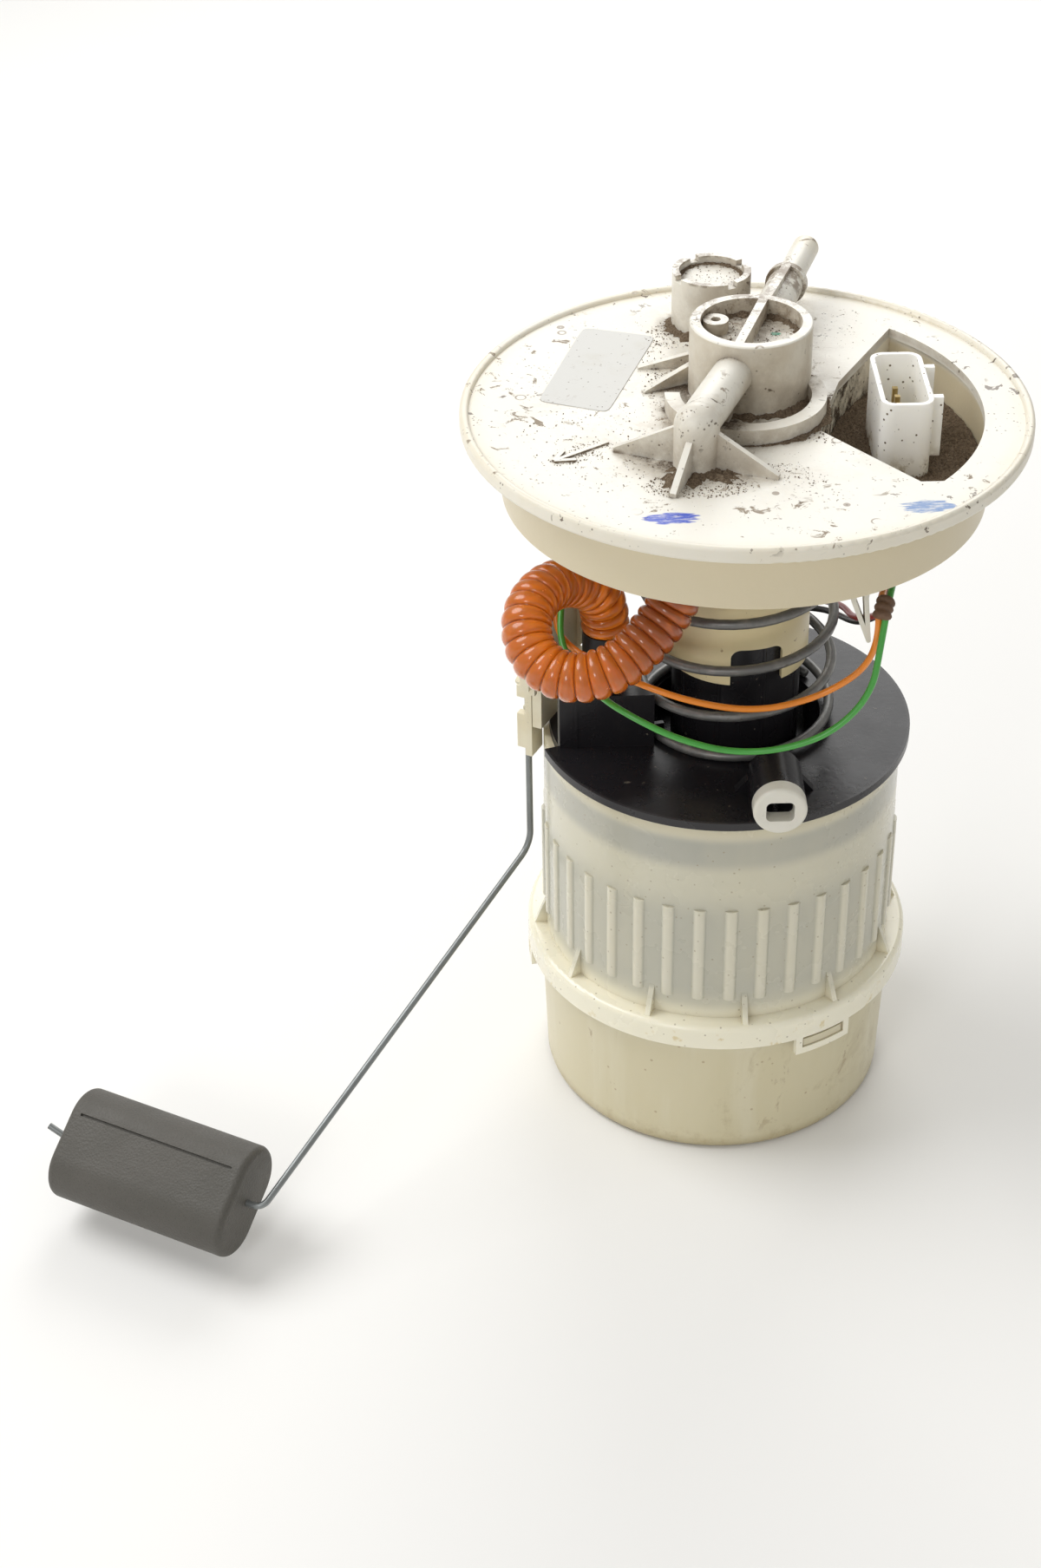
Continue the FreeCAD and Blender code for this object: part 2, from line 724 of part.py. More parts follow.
def pump_plug():
    gap = 0.1
    body = block(socket_x - socket_width / 2 + socket_wall + gap, socket_x + socket_width / 2 - socket_wall - gap,
                 socket_y - socket_depth / 2 + socket_wall + gap, socket_y + socket_depth / 2 - socket_wall - gap,
                 lid_top + 1.4, lid_top + socket_height + 4)
    key = block(socket_x - 2, socket_x + 2, socket_y + socket_depth / 2 - socket_wall - gap,
                socket_y + socket_depth / 2 + 1, lid_top + socket_height + 1, lid_top + socket_height + 3.4)
    return fused([body, key])


# Suction strainer and jet pump standing on the cup floor
def suction_strainer():
    low = floor_top + strainer_clear
    high = low + strainer_height
    disc = cylinder(strainer_radius, low, high, guide)
    disc = disc.makeFillet(2.0, edges_at_radius(disc, strainer_radius, [low, high], guide))
    collar = cylinder(inlet_neck_radius, high - 1, can_bottom - inlet_neck_length, guide)
    foot = cylinder(1.6, floor_top, low + 1, guide + Vector(strainer_radius * 0.7, 0, 0))
    rib = block(guide_x, guide_x + strainer_radius - 3, guide_y - 0.6, guide_y + 0.6, high - 1, high + 0.6)
    body = fused([disc, collar] + pattern(foot, 3, guide) + pattern(rib, 6, guide))
    return body.cut(cylinder(inlet_bore_radius, low + 2, high + 5, guide))


def jet_pump():
    height = floor_top + jet_radius + 1.6
    front = Vector(jet_x, jet_y - jet_length / 2, height)
    back = Vector(jet_x, jet_y + jet_length / 2, height)
    tube = rod(front, back, jet_radius)
    nozzle = cylinder(jet_radius - 0.6, height, height + 14, Vector(jet_x, front.y + 4, 0))
    foot_width = jet_radius * 1.4
    feet = [block(jet_x - foot_width / 2, jet_x + foot_width / 2, y, y + 3, floor_top, height)
            for y in (front.y + 2, back.y - 5)]
    body = fused([tube, nozzle] + feet)
    body = body.cut(rod(front + Vector(0, 3, 0), back + Vector(0, 1, 0), jet_bore))
    return body.cut(cylinder(jet_bore, height, height + 15, Vector(jet_x, front.y + 4, 0)))


# Pump: can, covers, turbine and motor on one vertical axis
def pump_can():
    inner = can_radius - can_wall
    tube = ring(can_radius, inner - can_lip, can_bottom - can_wall, can_top + can_wall, guide)
    return tube.cut(cylinder(inner, can_bottom, can_top, guide))


def pump_inlet_cover():
    top = can_bottom + inlet_cover_height
    chamber = top - impeller_height - 2 * impeller_gap
    passage = can_bottom + inlet_cover_height * 0.3
    body = fused([cylinder(can_radius - can_wall, can_bottom, top, guide),
                  cylinder(inlet_neck_radius, can_bottom - inlet_neck_length, can_bottom, guide)])
    arm = impeller_radius - vane_depth
    cuts = [cylinder(impeller_radius + impeller_gap, chamber, top + 1, guide),
            cylinder(inlet_bore_radius, can_bottom - inlet_neck_length - 1, passage, guide),
            block(guide_x, guide_x + arm + 1.5, guide_y - 2, guide_y + 2, can_bottom + 1, passage),
            cylinder(2.0, can_bottom + 1, top, guide + Vector(arm, 0, 0)),
            cylinder(shaft_radius + running_gap, chamber - 2.5, chamber + 1, guide)]
    return body.cut(cuts)


def pump_bearing_plate():
    low = can_bottom + inlet_cover_height
    high = low + plate_height
    body = fused([cylinder(can_radius - can_wall, low, high, guide), cylinder(5.0, high - 1, high + 3, guide)])
    port = cylinder(2.4, low - 1, high + 1, guide - Vector(impeller_radius - vane_depth, 0, 0))
    return body.cut(cylinder(shaft_radius + running_gap, low - 1, high + 5, guide)).cut(port)


def pump_impeller():
    top = can_bottom + inlet_cover_height - impeller_gap
    low = top - impeller_height
    body = ring(impeller_radius, shaft_radius, low, top, guide)
    gap = 0.55 * 2 * math.pi * impeller_radius / vane_count
    slot = block(guide_x + impeller_radius - vane_depth, guide_x + impeller_radius + 1, guide_y - gap / 2,
                 guide_y + gap / 2, low - 1, top + 1)
    return body.cut(pattern(slot, vane_count, guide))


def pump_armature():
    high = armature_bottom + armature_length
    bearing_low = can_bottom + inlet_cover_height - impeller_height - 2 * impeller_gap - 2.3
    core = cylinder(armature_radius, armature_bottom, high, guide)
    neck = block(guide_x + armature_radius - 3, guide_x + armature_radius + 1, guide_y - 0.7, guide_y + 0.7,
                 armature_bottom - 1, high + 1)
    pocket = cylinder(2.2, armature_bottom - 1, high + 1, guide + Vector(armature_radius - 4.2, 0, 0))
    core = core.cut(pattern(neck, armature_slots, guide) + pattern(pocket, armature_slots, guide))
    shaft = cylinder(shaft_radius, bearing_low, can_top - outlet_cover_height + 8.5, guide)
    return fused([core, shaft])


def pump_commutator():
    low = armature_bottom + armature_length
    high = low + commutator_length
    body = ring(commutator_radius, shaft_radius, low, high, guide)
    slit = block(guide_x + commutator_radius - 1, guide_x + commutator_radius + 1, guide_y - 0.2,
                 guide_y + 0.2, low - 1, high + 1)
    return body.cut(pattern(slit, commutator_bars, guide))


def pump_magnets():
    low = armature_bottom - 2
    high = armature_bottom + armature_length + 2
    arc = sector(can_radius - can_wall, low, high, -magnet_arc / 2, magnet_arc, guide)
    arc = arc.cut(cylinder(armature_radius + magnet_gap, low - 1, high + 1, guide))
    return Part.makeCompound(pattern(arc, 2, guide))


def brush_block(margin, near, far):
    middle = armature_bottom + armature_length + commutator_length / 2 + 0.5
    half = brush_size / 2 + margin
    return block(guide_x - half, guide_x + half, guide_y + near, guide_y + far, middle - half, middle + half)


def pump_brushes():
    brush = brush_block(0, commutator_radius + running_gap, commutator_radius + 8)
    return Part.makeCompound(pattern(brush, 2, guide))


def pump_outlet_cover():
    low = can_top - outlet_cover_height
    passage = can_top - 2.0
    holder = brush_block(0.9, commutator_radius + 1, commutator_radius + 9)
    box = holder.BoundBox
    holder = holder.fuse(block(box.XMin, box.XMax, box.YMin, box.YMax, box.ZMin, low + 1))
    hollow = brush_block(0, commutator_radius, commutator_radius + 8)
    disc = cylinder(can_radius - can_wall, low, can_top, guide)
    tube = cylinder(outlet_tube_radius, can_top - 1, outlet_tube_top, guide)
    body = fused([disc, tube] + pattern(holder, 2, guide))
    port = cylinder(1.8, low - 1, passage + 0.5, guide + Vector(8, 0, 0))
    cuts = pattern(hollow, 2, guide) + pattern(port, 2, guide) + [
        cylinder(shaft_radius + running_gap, low - 1, low + 9, guide),
        block(guide_x - 9, guide_x + 9, guide_y - 1.2, guide_y + 1.2, passage - 0.5, passage + 0.9),
        cylinder(poppet_radius - 0.6, passage - 0.5, poppet_seat, guide),
        cylinder(outlet_bore_radius, poppet_seat, outlet_tube_top + 1, guide)]
    cage = ring(outlet_bore_radius + 0.4, poppet_radius - 0.9, outlet_tube_top - 2, outlet_tube_top - 0.8, guide)
    return fused([body.cut(cuts), cage])


def pump_isolator():
    low = can_top - 1 - isolator_height
    body = ring(tube_inner, can_radius, low, low + isolator_height, guide)
    pitch = isolator_height / isolator_grooves
    grooves = [ring(tube_inner + 1, tube_inner - 1, low + pitch * (i + 0.3), low + pitch * (i + 0.7), guide)
               for i in range(isolator_grooves)]
    return body.cut(grooves)


def check_valve_poppet():
    top = poppet_seat + poppet_length
    return lathe([(0, poppet_seat), (poppet_radius, poppet_seat), (poppet_radius, poppet_seat + 1.5),
                  (poppet_radius - 1.1, top - 1.2), (poppet_radius - 1.1, top), (0, top)], guide)


def coil(radius, wire, low, high, turns, start, dead):
    """Compression spring: coils that lie flat at both ends and rise evenly between them."""
    points = []
    total = turns + 2 * dead
    steps = int(total * 16)
    for i in range(steps + 1):
        turn = total * i / steps
        rise = min(max((turn - dead) / turns, 0.0), 1.0)
        angle = math.radians(start) + 2 * math.pi * (turn - dead)
        height = low + wire / 2 + (high - low - wire) * rise
        points.append(Vector(guide_x + radius * math.cos(angle), guide_y + radius * math.sin(angle), height))
    path = Part.BSplineCurve()
    path.interpolate(points)
    edge = path.toShape()
    way = edge.tangentAt(edge.FirstParameter)
    circle = Part.Wire(Part.makeCircle(wire / 2, points[0], way))
    return Part.Wire(edge).makePipeShell([circle], True, True)


def check_valve_spring():
    return coil(check_spring_radius - check_spring_wire / 2, check_spring_wire, poppet_seat + poppet_length,
                outlet_tube_top - 2, check_spring_turns, 0, 0.4)


def guide_spring():
    top = spring_seat_top - spring_gap
    span = top - lid_top - spring_wire
    return coil(spring_radius, spring_wire, lid_top, top, span / spring_pitch, spring_start, dead_turn)


# Flange with its cups, pipe, pocket and skirt
def at_flange(x, y, z=0.0):
    return Vector(guide_x + x, guide_y + y, z)


def along_pipe(distance, side=0.0, z=0.0):
    foot = at_flange(cup_offset_x, cup_offset_y) + pipe_dir * distance
    across = Vector(-pipe_dir.y, pipe_dir.x, 0) * side
    return Vector(foot.x + across.x, foot.y + across.y, z)


def upright_fin(start, end, low, start_height, end_height, width):
    way = Vector(end.x - start.x, end.y - start.y, 0)
    side = Vector(-way.y, way.x, 0).normalize() * width
    corners = [Vector(start.x, start.y, low), Vector(end.x, end.y, low),
               Vector(end.x, end.y, low + end_height), Vector(start.x, start.y, low + start_height)]
    face = Part.Face(Part.makePolygon(corners + corners[:1]))
    face.translate(side * -0.5)
    return face.extrude(side)


def along_outlet(distance, z=0.0):
    foot = at_flange(cup_offset_x, cup_offset_y) + outlet_dir * distance
    return Vector(foot.x, foot.y, z)


def pocket_prism(grow, low, high, outer):
    corners = [at_flange(47.5, 50, low), at_flange(27.5, 14, low), at_flange(19, -14, low),
               at_flange(43, -44, low), at_flange(90, -44, low), at_flange(90, 50, low)]
    outline = Part.makePolygon(corners + corners[:1])
    if grow:
        outline = outline.makeOffset2D(grow)
    solid = Part.Face(outline).extrude(Vector(0, 0, high - low))
    return solid.common(cylinder(outer, low, high, guide))


def flange_plate_piece():
    lip = ring(flange_radius, flange_radius - 2.6, flange_top - lip_drop, flange_top + lip_rise, guide)
    edges = edges_at_radius(lip, flange_radius, [flange_top - lip_drop, flange_top + lip_rise], guide)
    edges += edges_at_radius(lip, flange_radius - 2.6, [flange_top + lip_rise], guide)
    lip = lip.makeFillet(1.1, edges)
    plate = cylinder(flange_radius - 1, flange_under, flange_top, guide)
    foot = along_pipe(-post_distance)
    spigot = cylinder(hose_diameter / 2 - 0.2, spigot_bottom, flange_under + 1, foot)
    tip = at_flange(-53.9, -29.1)
    tail = at_flange(-39, -19)
    heading = math.atan2(tip.y - tail.y, tip.x - tail.x)
    raised = 0.5 + arrow_raise
    arrow = [upright_fin(tip, tail, flange_top - 0.5, raised, raised, arrow_line)]
    for turn in (150, -150):
        side = heading + math.radians(turn)
        barb = tip + Vector(math.cos(side), math.sin(side), 0) * (arrow_length / 3)
        arrow.append(upright_fin(tip, barb, flange_top - 0.5, raised, raised, arrow_line))
    cuts = [cylinder(port_cup_radius, spigot_bottom, flange_top + 5, at_flange(cup_offset_x, cup_offset_y)),
            cylinder(rollover_radius - rollover_wall - 1, flange_under - 1, flange_top + 1,
                     at_flange(rear_x, rear_y)),
            pocket_prism(0, pocket_floor, flange_top + 10, pocket_outer),
            ring(skirt_top_radius, skirt_top_radius - skirt_wall, flange_under - 1, flange_under + skirt_seat, guide),
            cylinder(nipple_bore, spigot_bottom - 1, flange_top + 1, foot)]
    return fused([plate, lip, spigot] + arrow).cut(cuts)


def flange_skirt():
    # The skirt's top edge stands in a shallow groove of the plate.
    seat = flange_under + skirt_seat
    return lathe([(skirt_top_radius - skirt_wall, seat), (skirt_top_radius, seat), (skirt_top_radius, flange_under),
                  (skirt_bottom_radius, skirt_bottom), (skirt_bottom_radius - skirt_wall, skirt_bottom),
                  (skirt_top_radius - skirt_wall, flange_under)], guide)


def flange_pocket():
    low = pocket_floor - pocket_skin
    body = pocket_prism(pocket_skin, low, flange_under, skirt_top_radius)
    inside = Part.makeCone(skirt_bottom_radius - skirt_wall, skirt_top_radius - skirt_wall, skirt_height,
                           Vector(guide_x, guide_y, skirt_bottom))
    half = Vector(connector_width / 2 - 2, connector_depth / 2 - 2, 0)
    centre = at_flange(connector_x, connector_y)
    tail_hole = block(centre.x - half.x, centre.x + half.x, centre.y - half.y, centre.y + half.y, low - 1,
                      pocket_floor + 1)
    cuts = [pocket_prism(0, pocket_floor, flange_top, flange_radius), tail_hole,
            cylinder(sleeve_inner + sleeve_thin, 0, flange_top, guide)]
    return body.common(inside).cut(cuts)


def spring_cup():
    body = ring(spring_cup_outer, spring_cup_inner, spring_seat_top, flange_under, guide)
    foot = along_pipe(-post_distance)
    cuts = [pocket_prism(pocket_skin, pocket_floor - pocket_skin, flange_top, flange_radius),
            cylinder(hose_diameter / 2 - 0.2, spring_seat_top - 1, flange_top, foot),
            cylinder(hose_diameter / 2 + hose_room, spring_seat_top - 1, spigot_bottom + hose_room, foot)]
    return body.cut(cuts)


def port_cup():
    port = at_flange(cup_offset_x, cup_offset_y)
    inner = port_cup_radius - port_cup_wall
    cavity_top = flange_under + regulator_height
    boss_centre = port + Vector(boss_x, boss_y, 0)
    body = cylinder(port_cup_radius, flange_under, port_cup_top, port)
    body = body.makeFillet(0.6, edges_at_radius(body, port_cup_radius, [port_cup_top], port))
    wedges = [upright_fin(at_flange(-4, 26.5), at_flange(-28.7, 25), flange_top, wedge_height, fin_tip_height / 2,
                          fin_width),
              upright_fin(at_flange(-12, 17.5), at_flange(-28, 10), flange_top, wedge_height, fin_tip_height / 2,
                          fin_width)]
    body = fused([body] + wedges).cut(cylinder(inner, port_cup_floor, port_cup_top + 1, port))
    rib = upright_fin(along_outlet(-inner - 1), along_outlet(inner + 1), port_cup_floor - 0.5,
                      port_cup_depth + 0.5, port_cup_depth + 0.5, cup_rib_width)
    boss = cylinder(boss_radius, port_cup_floor - 0.5, port_cup_top - boss_below_rim, boss_centre)
    cuts = [ring(inner, regulator_radius + 2.2, flange_under - 1, pipe_z - pipe_radius_front - 2, port),
            cylinder(regulator_radius + regulator_gap, flange_under - 1, cavity_top, port),
            rod(along_pipe(-port_cup_radius - 1, 0, pipe_z), along_pipe(0, 0, pipe_z), nipple_bore),
            rod(along_outlet(0, pipe_z), along_outlet(port_cup_radius + 1, pipe_z), nipple_bore),
            cylinder(nipple_bore, cavity_top - 1, pipe_z, port),
            cylinder(boss_bore, port_cup_floor + 0.5, port_cup_top + 1, boss_centre)]
    return fused([body, rib, boss]).cut(cuts)


def riser_pipe():
    foot = along_pipe(-post_distance)
    high = along_pipe(-post_distance, 0, pipe_z)
    rise = pipe_z - flange_top
    body = [cylinder(post_radius, flange_top, pipe_z, foot), Part.makeSphere(post_radius, high),
            rod(high, along_pipe(0, 0, pipe_z), pipe_radius_front),
            upright_fin(foot, along_pipe(0), flange_top, rise, rise, fin_width)]
    for end in (along_pipe(-post_distance, fin_side), along_pipe(-post_distance, -fin_side),
                along_pipe(-post_distance - fin_front)):
        body.append(upright_fin(foot, end, flange_top, fin_height, fin_tip_height, fin_width))
    cuts = [cylinder(port_cup_radius, flange_under, port_cup_top, at_flange(cup_offset_x, cup_offset_y)),
            rod(high, along_pipe(0, 0, pipe_z), nipple_bore), cylinder(nipple_bore, flange_top - 1, pipe_z, foot)]
    return fused(body).cut(cuts)


def outlet_pipe():
    rise = pipe_z - flange_top
    bead_end = nipple_bead_at + nipple_bead_length
    body = [rod(along_outlet(0, pipe_z), along_outlet(nipple_bead_at + 1, pipe_z), pipe_radius_back),
            rod(along_outlet(nipple_bead_at, pipe_z), along_outlet(nipple_tip, pipe_z), nipple_radius),
            rod(along_outlet(nipple_bead_at, pipe_z), along_outlet(bead_end, pipe_z), nipple_bead_radius),
            upright_fin(along_outlet(0), along_outlet(nipple_bead_at - 2), flange_top, rise, rise, fin_width),
            upright_fin(along_outlet(0), along_outlet(nipple_bead_at + 1), pipe_z, pipe_below_rim,
                        nipple_bead_radius, cup_rib_width)]
    cuts = [cylinder(port_cup_radius, flange_under, port_cup_top + 1, at_flange(cup_offset_x, cup_offset_y)),
            rod(along_outlet(0, pipe_z), along_outlet(nipple_tip + 1, pipe_z), nipple_bore)]
    return fused(body).cut(cuts)


def rear_cup():
    rear = at_flange(rear_x, rear_y)
    body = cylinder(rear_radius, flange_top, rear_top, rear)
    notch = block(rear.x, rear.x + rear_radius + 2, rear.y - rear_notch_width / 2, rear.y + rear_notch_width / 2,
                  rear_top - rear_notch_depth, rear_top + 1)
    cuts = [cylinder(rear_radius - rear_wall, rear_floor, rear_top + 1, rear),
            cylinder(rollover_radius - rollover_wall - 1, flange_top - 1, rear_floor - 2, rear)]
    return body.cut(cuts + pattern(notch, rear_notches, rear, first=28.0))


def cup_ridge():
    ridge = sector(collar_ridge_outer, flange_top, flange_top + collar_ridge_height, collar_ridge_from,
                   collar_ridge_sweep, guide)
    cuts = [cylinder(collar_ridge_outer - collar_ridge_width, 0, flange_top + 20, guide),
            cylinder(port_cup_radius, 0, port_cup_top, at_flange(cup_offset_x, cup_offset_y)), riser_pipe()]
    return ridge.cut(cuts)


def connector_housing():
    centre = at_flange(connector_x, connector_y)
    body = rounded_box(connector_width, connector_depth, pocket_floor, connector_top, connector_round, centre)
    hollow = rounded_box(connector_width - 2 * connector_wall, connector_depth - 2 * connector_wall,
                         pocket_floor + 3, connector_top + 1, connector_round - connector_wall, centre)
    tail = rounded_box(connector_width - 4.2, connector_depth - 4.2, pocket_floor - connector_tail,
                       pocket_floor + 1, 2.0, centre)
    side = centre.x + connector_width / 2
    keys = [block(side - 0.5, side + key_proud, centre.y + y - key_width / 2, centre.y + y + key_width / 2,
                  pocket_floor + 4, connector_top - 1) for y in (-9.0, 9.0)]
    latch = block(side - 0.5, side + key_proud * 0.6, centre.y - 3.5, centre.y + 3.5, connector_top - 7,
                  connector_top - 5)
    body = fused([body, tail, latch] + keys).cut(hollow)
    slots = [pin.copy() for pin in connector_pin_blocks(0.0)]
    return body.cut(slots)


def connector_pin_blocks(margin):
    centre = at_flange(connector_x, connector_y)
    half = pin_width / 2 + margin
    first = centre.y - pin_pitch * (pin_count - 1) / 2
    return [block(centre.x - half, centre.x + half, first + i * pin_pitch - half, first + i * pin_pitch + half,
                  pocket_floor - connector_tail, pin_top) for i in range(pin_count)]


def connector_pins():
    return Part.makeCompound(connector_pin_blocks(0.0))


def harness_plug():
    centre = at_flange(connector_x, connector_y)
    top = pocket_floor - connector_tail
    body = rounded_box(connector_width - 4.2, connector_depth - 4.2, top - plug_height, top, 2.0, centre)
    lever = block(centre.x + connector_width / 2 - 3, centre.x + connector_width / 2 - 1, centre.y - 3,
                  centre.y + 3, top - plug_height + 1, top - 1)
    return fused([body, lever])


def harness_clip():
    shoulder = flange_under - hook_shoulder
    low = Vector(hook_low_x, hook_y, flange_under - hook_low)
    left = [Vector(hook_left, hook_y, flange_under), Vector(hook_left, hook_y, shoulder), low]
    right = [Vector(hook_right, hook_y, flange_under), Vector(hook_right - hook_lean, hook_y, shoulder + 1), low]
    pieces = []
    for line in (left, right):
        for a, b in zip(line, line[1:]):
            across = Vector(b.z - a.z, 0, a.x - b.x).normalize() * (hook_thickness / 2)
            corners = [a + across, b + across, b - across, a - across]
            face = Part.Face(Part.makePolygon(corners + corners[:1]))
            face.translate(Vector(0, -hook_width / 2, 0))
            pieces.append(face.extrude(Vector(0, hook_width, 0)))
        for joint in line[1:]:
            pieces.append(rod(joint - Vector(0, hook_width / 2, 0), joint + Vector(0, hook_width / 2, 0),
                              hook_thickness / 2))
    body = fused(pieces)
    return body.cut(block(hook_left - 10, hook_right + 10, hook_y - 10, hook_y + 10, flange_under, flange_top))


def guide_sleeve():
    lug_top = tower_top - 1
    body = ring(sleeve_outer, sleeve_inner, sleeve_bottom, flange_under, guide)
    shoulder = ring(sleeve_outer + 1, sleeve_inner + sleeve_thin, sleeve_thin_from, flange_under + 1, guide)
    opening = block(guide_x, guide_x + sleeve_outer + 1, guide_y - sleeve_cutout_width / 2,
                    guide_y + sleeve_cutout_width / 2, sleeve_bottom - 1, sleeve_bottom + sleeve_cutout_height)
    level = [e for e in opening.Edges if e.BoundBox.XLength > 5
             and abs(e.BoundBox.ZMin - sleeve_bottom - sleeve_cutout_height) < 0.01]
    opening = opening.makeFillet(3.0, level)
    track = block(guide_x, guide_x + sleeve_outer + 1, guide_y - track_width / 2, guide_y + track_width / 2,
                  lug_top - lug_height - lug_gap, lug_top + flange_travel + 2)
    track = track.common(cylinder(sleeve_inner + track_depth, 0, flange_top, guide))
    return body.cut([shoulder] + pattern(opening, sleeve_cutouts, guide, first=sleeve_cutout_angle)
                    + pattern(track, track_count, guide, first=track_angle))


def regulator_cartridge():
    port = at_flange(cup_offset_x, cup_offset_y)
    top = flange_under + regulator_height
    body = lathe([(0, flange_under), (regulator_radius, flange_under), (regulator_radius, flange_under + 4),
                  (regulator_radius - 0.8, flange_under + 4.6), (regulator_radius - 0.8, flange_under + 6.2),
                  (regulator_radius, flange_under + 6.8), (regulator_radius, top - 2),
                  (regulator_radius - 1.4, top), (0, top)], port)
    return body.cut(cylinder(1.6, flange_under + regulator_height / 2, top + 1, port))


def regulator_clip():
    port = at_flange(cup_offset_x, cup_offset_y)
    plate = ring(regulator_radius + clip_rim, regulator_radius / 2, flange_under - 1.2, flange_under, port)
    slit = block(port.x - 1.2, port.x + 1.2, port.y, port.y + regulator_radius + 3, flange_under - 2,
                 flange_under + 1)
    return plate.cut(slit)


def rollover_valve_body():
    rear = at_flange(rear_x, rear_y)
    hollow = rollover_radius - rollover_wall
    body = cylinder(rollover_radius, rollover_bottom, flange_under, rear)
    body = body.cut(cylinder(hollow, rollover_bottom + 2, flange_under - 2, rear))
    drain = block(rear.x, rear.x + rollover_radius + 1, rear.y - 1.5, rear.y + 1.5, rollover_bottom + 2,
                  rollover_bottom + 8)
    hole = cylinder(2.0, rollover_bottom - 1, rollover_bottom + 3, rear + Vector(4, 0, 0))
    vent = cylinder(1.6, flange_under - 3, flange_under + 1, rear)
    return body.cut([vent] + pattern(drain, 4, rear, first=45.0) + pattern(hole, 3, rear))


def rollover_float():
    rear = at_flange(rear_x, rear_y)
    low = rollover_bottom + 2
    top = low + rollover_float_height
    return lathe([(0, low), (rollover_float_radius, low), (rollover_float_radius, top - 1.5),
                  (rollover_float_radius - 1.5, top), (2.2, top), (1.0, top + 3.6), (0, top + 3.6)], rear)


# Level sender, drawn in its own frame and then set in place
def sender_housing():
    back = sender_back
    face = sender_face
    plate = fused([block(back, face, sender_rear, sender_front, sender_step, sender_top),
                   block(back, face, sender_rear, sender_near, lid_top, sender_step + 1)])
    boss = rod(Vector(back - pivot_boss_length, 0, pivot_z), Vector(back + 0.5, 0, pivot_z), pivot_boss_radius)
    reach = sender_face_to_block
    arms = [block(-reach, back + 0.5, y, y + 2.2, lid_top, lid_top + sender_foot_height) for y in (-20.0, -9.0)]
    rails = [block(back - 1.2, back + 0.5, y, y + 1.6, lid_top + sender_foot_height, sender_top - 2)
             for y in (-22.0, 9.0)]
    lower_stop = block(face - 0.5, face + 2.0, -jaw_half_width - 0.7 - holder_gap - 2.0,
                       -jaw_half_width - 0.7 - holder_gap, pivot_z - 18, pivot_z - 14)
    upper_stop = block(face - 0.5, face + 2.0, jaw_half_width + 0.7 + holder_gap,
                       jaw_half_width + 2.7 + holder_gap, pivot_z - 9, pivot_z - 7)
    upper_stop.rotate(Vector(0, 0, pivot_z), Vector(1, 0, 0), arm_range)
    body = fused([plate, boss, lower_stop, upper_stop] + arms + rails)
    card = block(face - card_depth, face + 1, card_far, card_near, card_low, card_high)
    hole = rod(Vector(back - pivot_boss_length - 1, 0, pivot_z), Vector(face + 1, 0, pivot_z),
               wire_radius + running_gap)
    return place_sender(body.cut([card, hole]))


def sender_card():
    return place_sender(block(sender_face - card_depth, sender_face, card_far, card_near, card_low, card_high))


def terminal_y(index):
    return -4.5 - index * terminal_pitch


def sender_terminals():
    middle = (sender_back + sender_face) / 2
    posts = [block(middle - 1.1, middle + 1.1, terminal_y(i) - 1.1, terminal_y(i) + 1.1, sender_top,
                   sender_top + terminal_height) for i in range(terminal_count)]
    return place_sender(Part.makeCompound(posts))


def holder_slot():
    # Room for the wire, which turns down from the pivot inside the holder.
    slot = block(sender_face, jaw_front + 1, -wire_radius, wire_radius, pivot_z - entry_radius - 2, pivot_z)
    return slot.fuse(rod(Vector(sender_face, 0, pivot_z), Vector(jaw_front, 0, pivot_z), wire_radius))


def wire_holder():
    back = sender_face + holder_gap
    front = -wire_radius - 0.05
    half = jaw_half_width + 0.7
    hub = rod(Vector(back, 0, pivot_z), Vector(front, 0, pivot_z), holder_radius)
    strap = block(back, front, -half, half, holder_bottom, pivot_z)
    arm = block(back, front, -wiper_reach, 0, pivot_z - 2, pivot_z + 2)
    jaws = [block(front - 0.5, jaw_front, -jaw_half_width, jaw_half_width, jaw_bottom, jaw_top),
            block(front - 0.5, jaw_front, -jaw_half_width, jaw_half_width, 137.0, 141.0)]
    wire_room = rod(Vector(0, 0, holder_bottom - 5), Vector(0, 0, pivot_z - 5), wire_radius)
    mouth = block(0, jaw_front + 1, -wire_radius * 0.8, wire_radius * 0.8, holder_bottom - 5, pivot_z - 5)
    body = place_sender(fused([hub, strap, arm] + jaws).cut([holder_slot(), wire_room, mouth]))
    return body.cut(cylinder(housing_radius + holder_gap, 0, housing_top + holder_gap))


def wiper_contact():
    back = sender_face + holder_gap
    strip = block(back - wiper_thickness, back, 0.5 - wiper_reach, 6.5 - wiper_reach, pivot_z - 1.6, pivot_z + 1.6)
    fork = block(back - 1, back + 1, -wiper_reach, 4 - wiper_reach, pivot_z - 0.3, pivot_z + 0.3)
    return place_sender(strip.cut(fork))


def float_wire():
    end = float_a + float_length
    points = [Vector(sender_back - pivot_boss_length + wire_end_gap, 0, pivot_z), Vector(0, 0, pivot_z),
              Vector(0, 0, bend_z), Vector(corner_a, float_b, float_z), Vector(end + wire_tail / 3, float_b, float_z),
              Vector(end + wire_tail, float_b, float_z + tail_rise)]
    path, tube = bent_tube(points, [entry_radius, bend_radius, entry_radius, bend_radius], wire_radius)
    print("float wire length %.1f" % path.Length)
    return place_sender(tube)


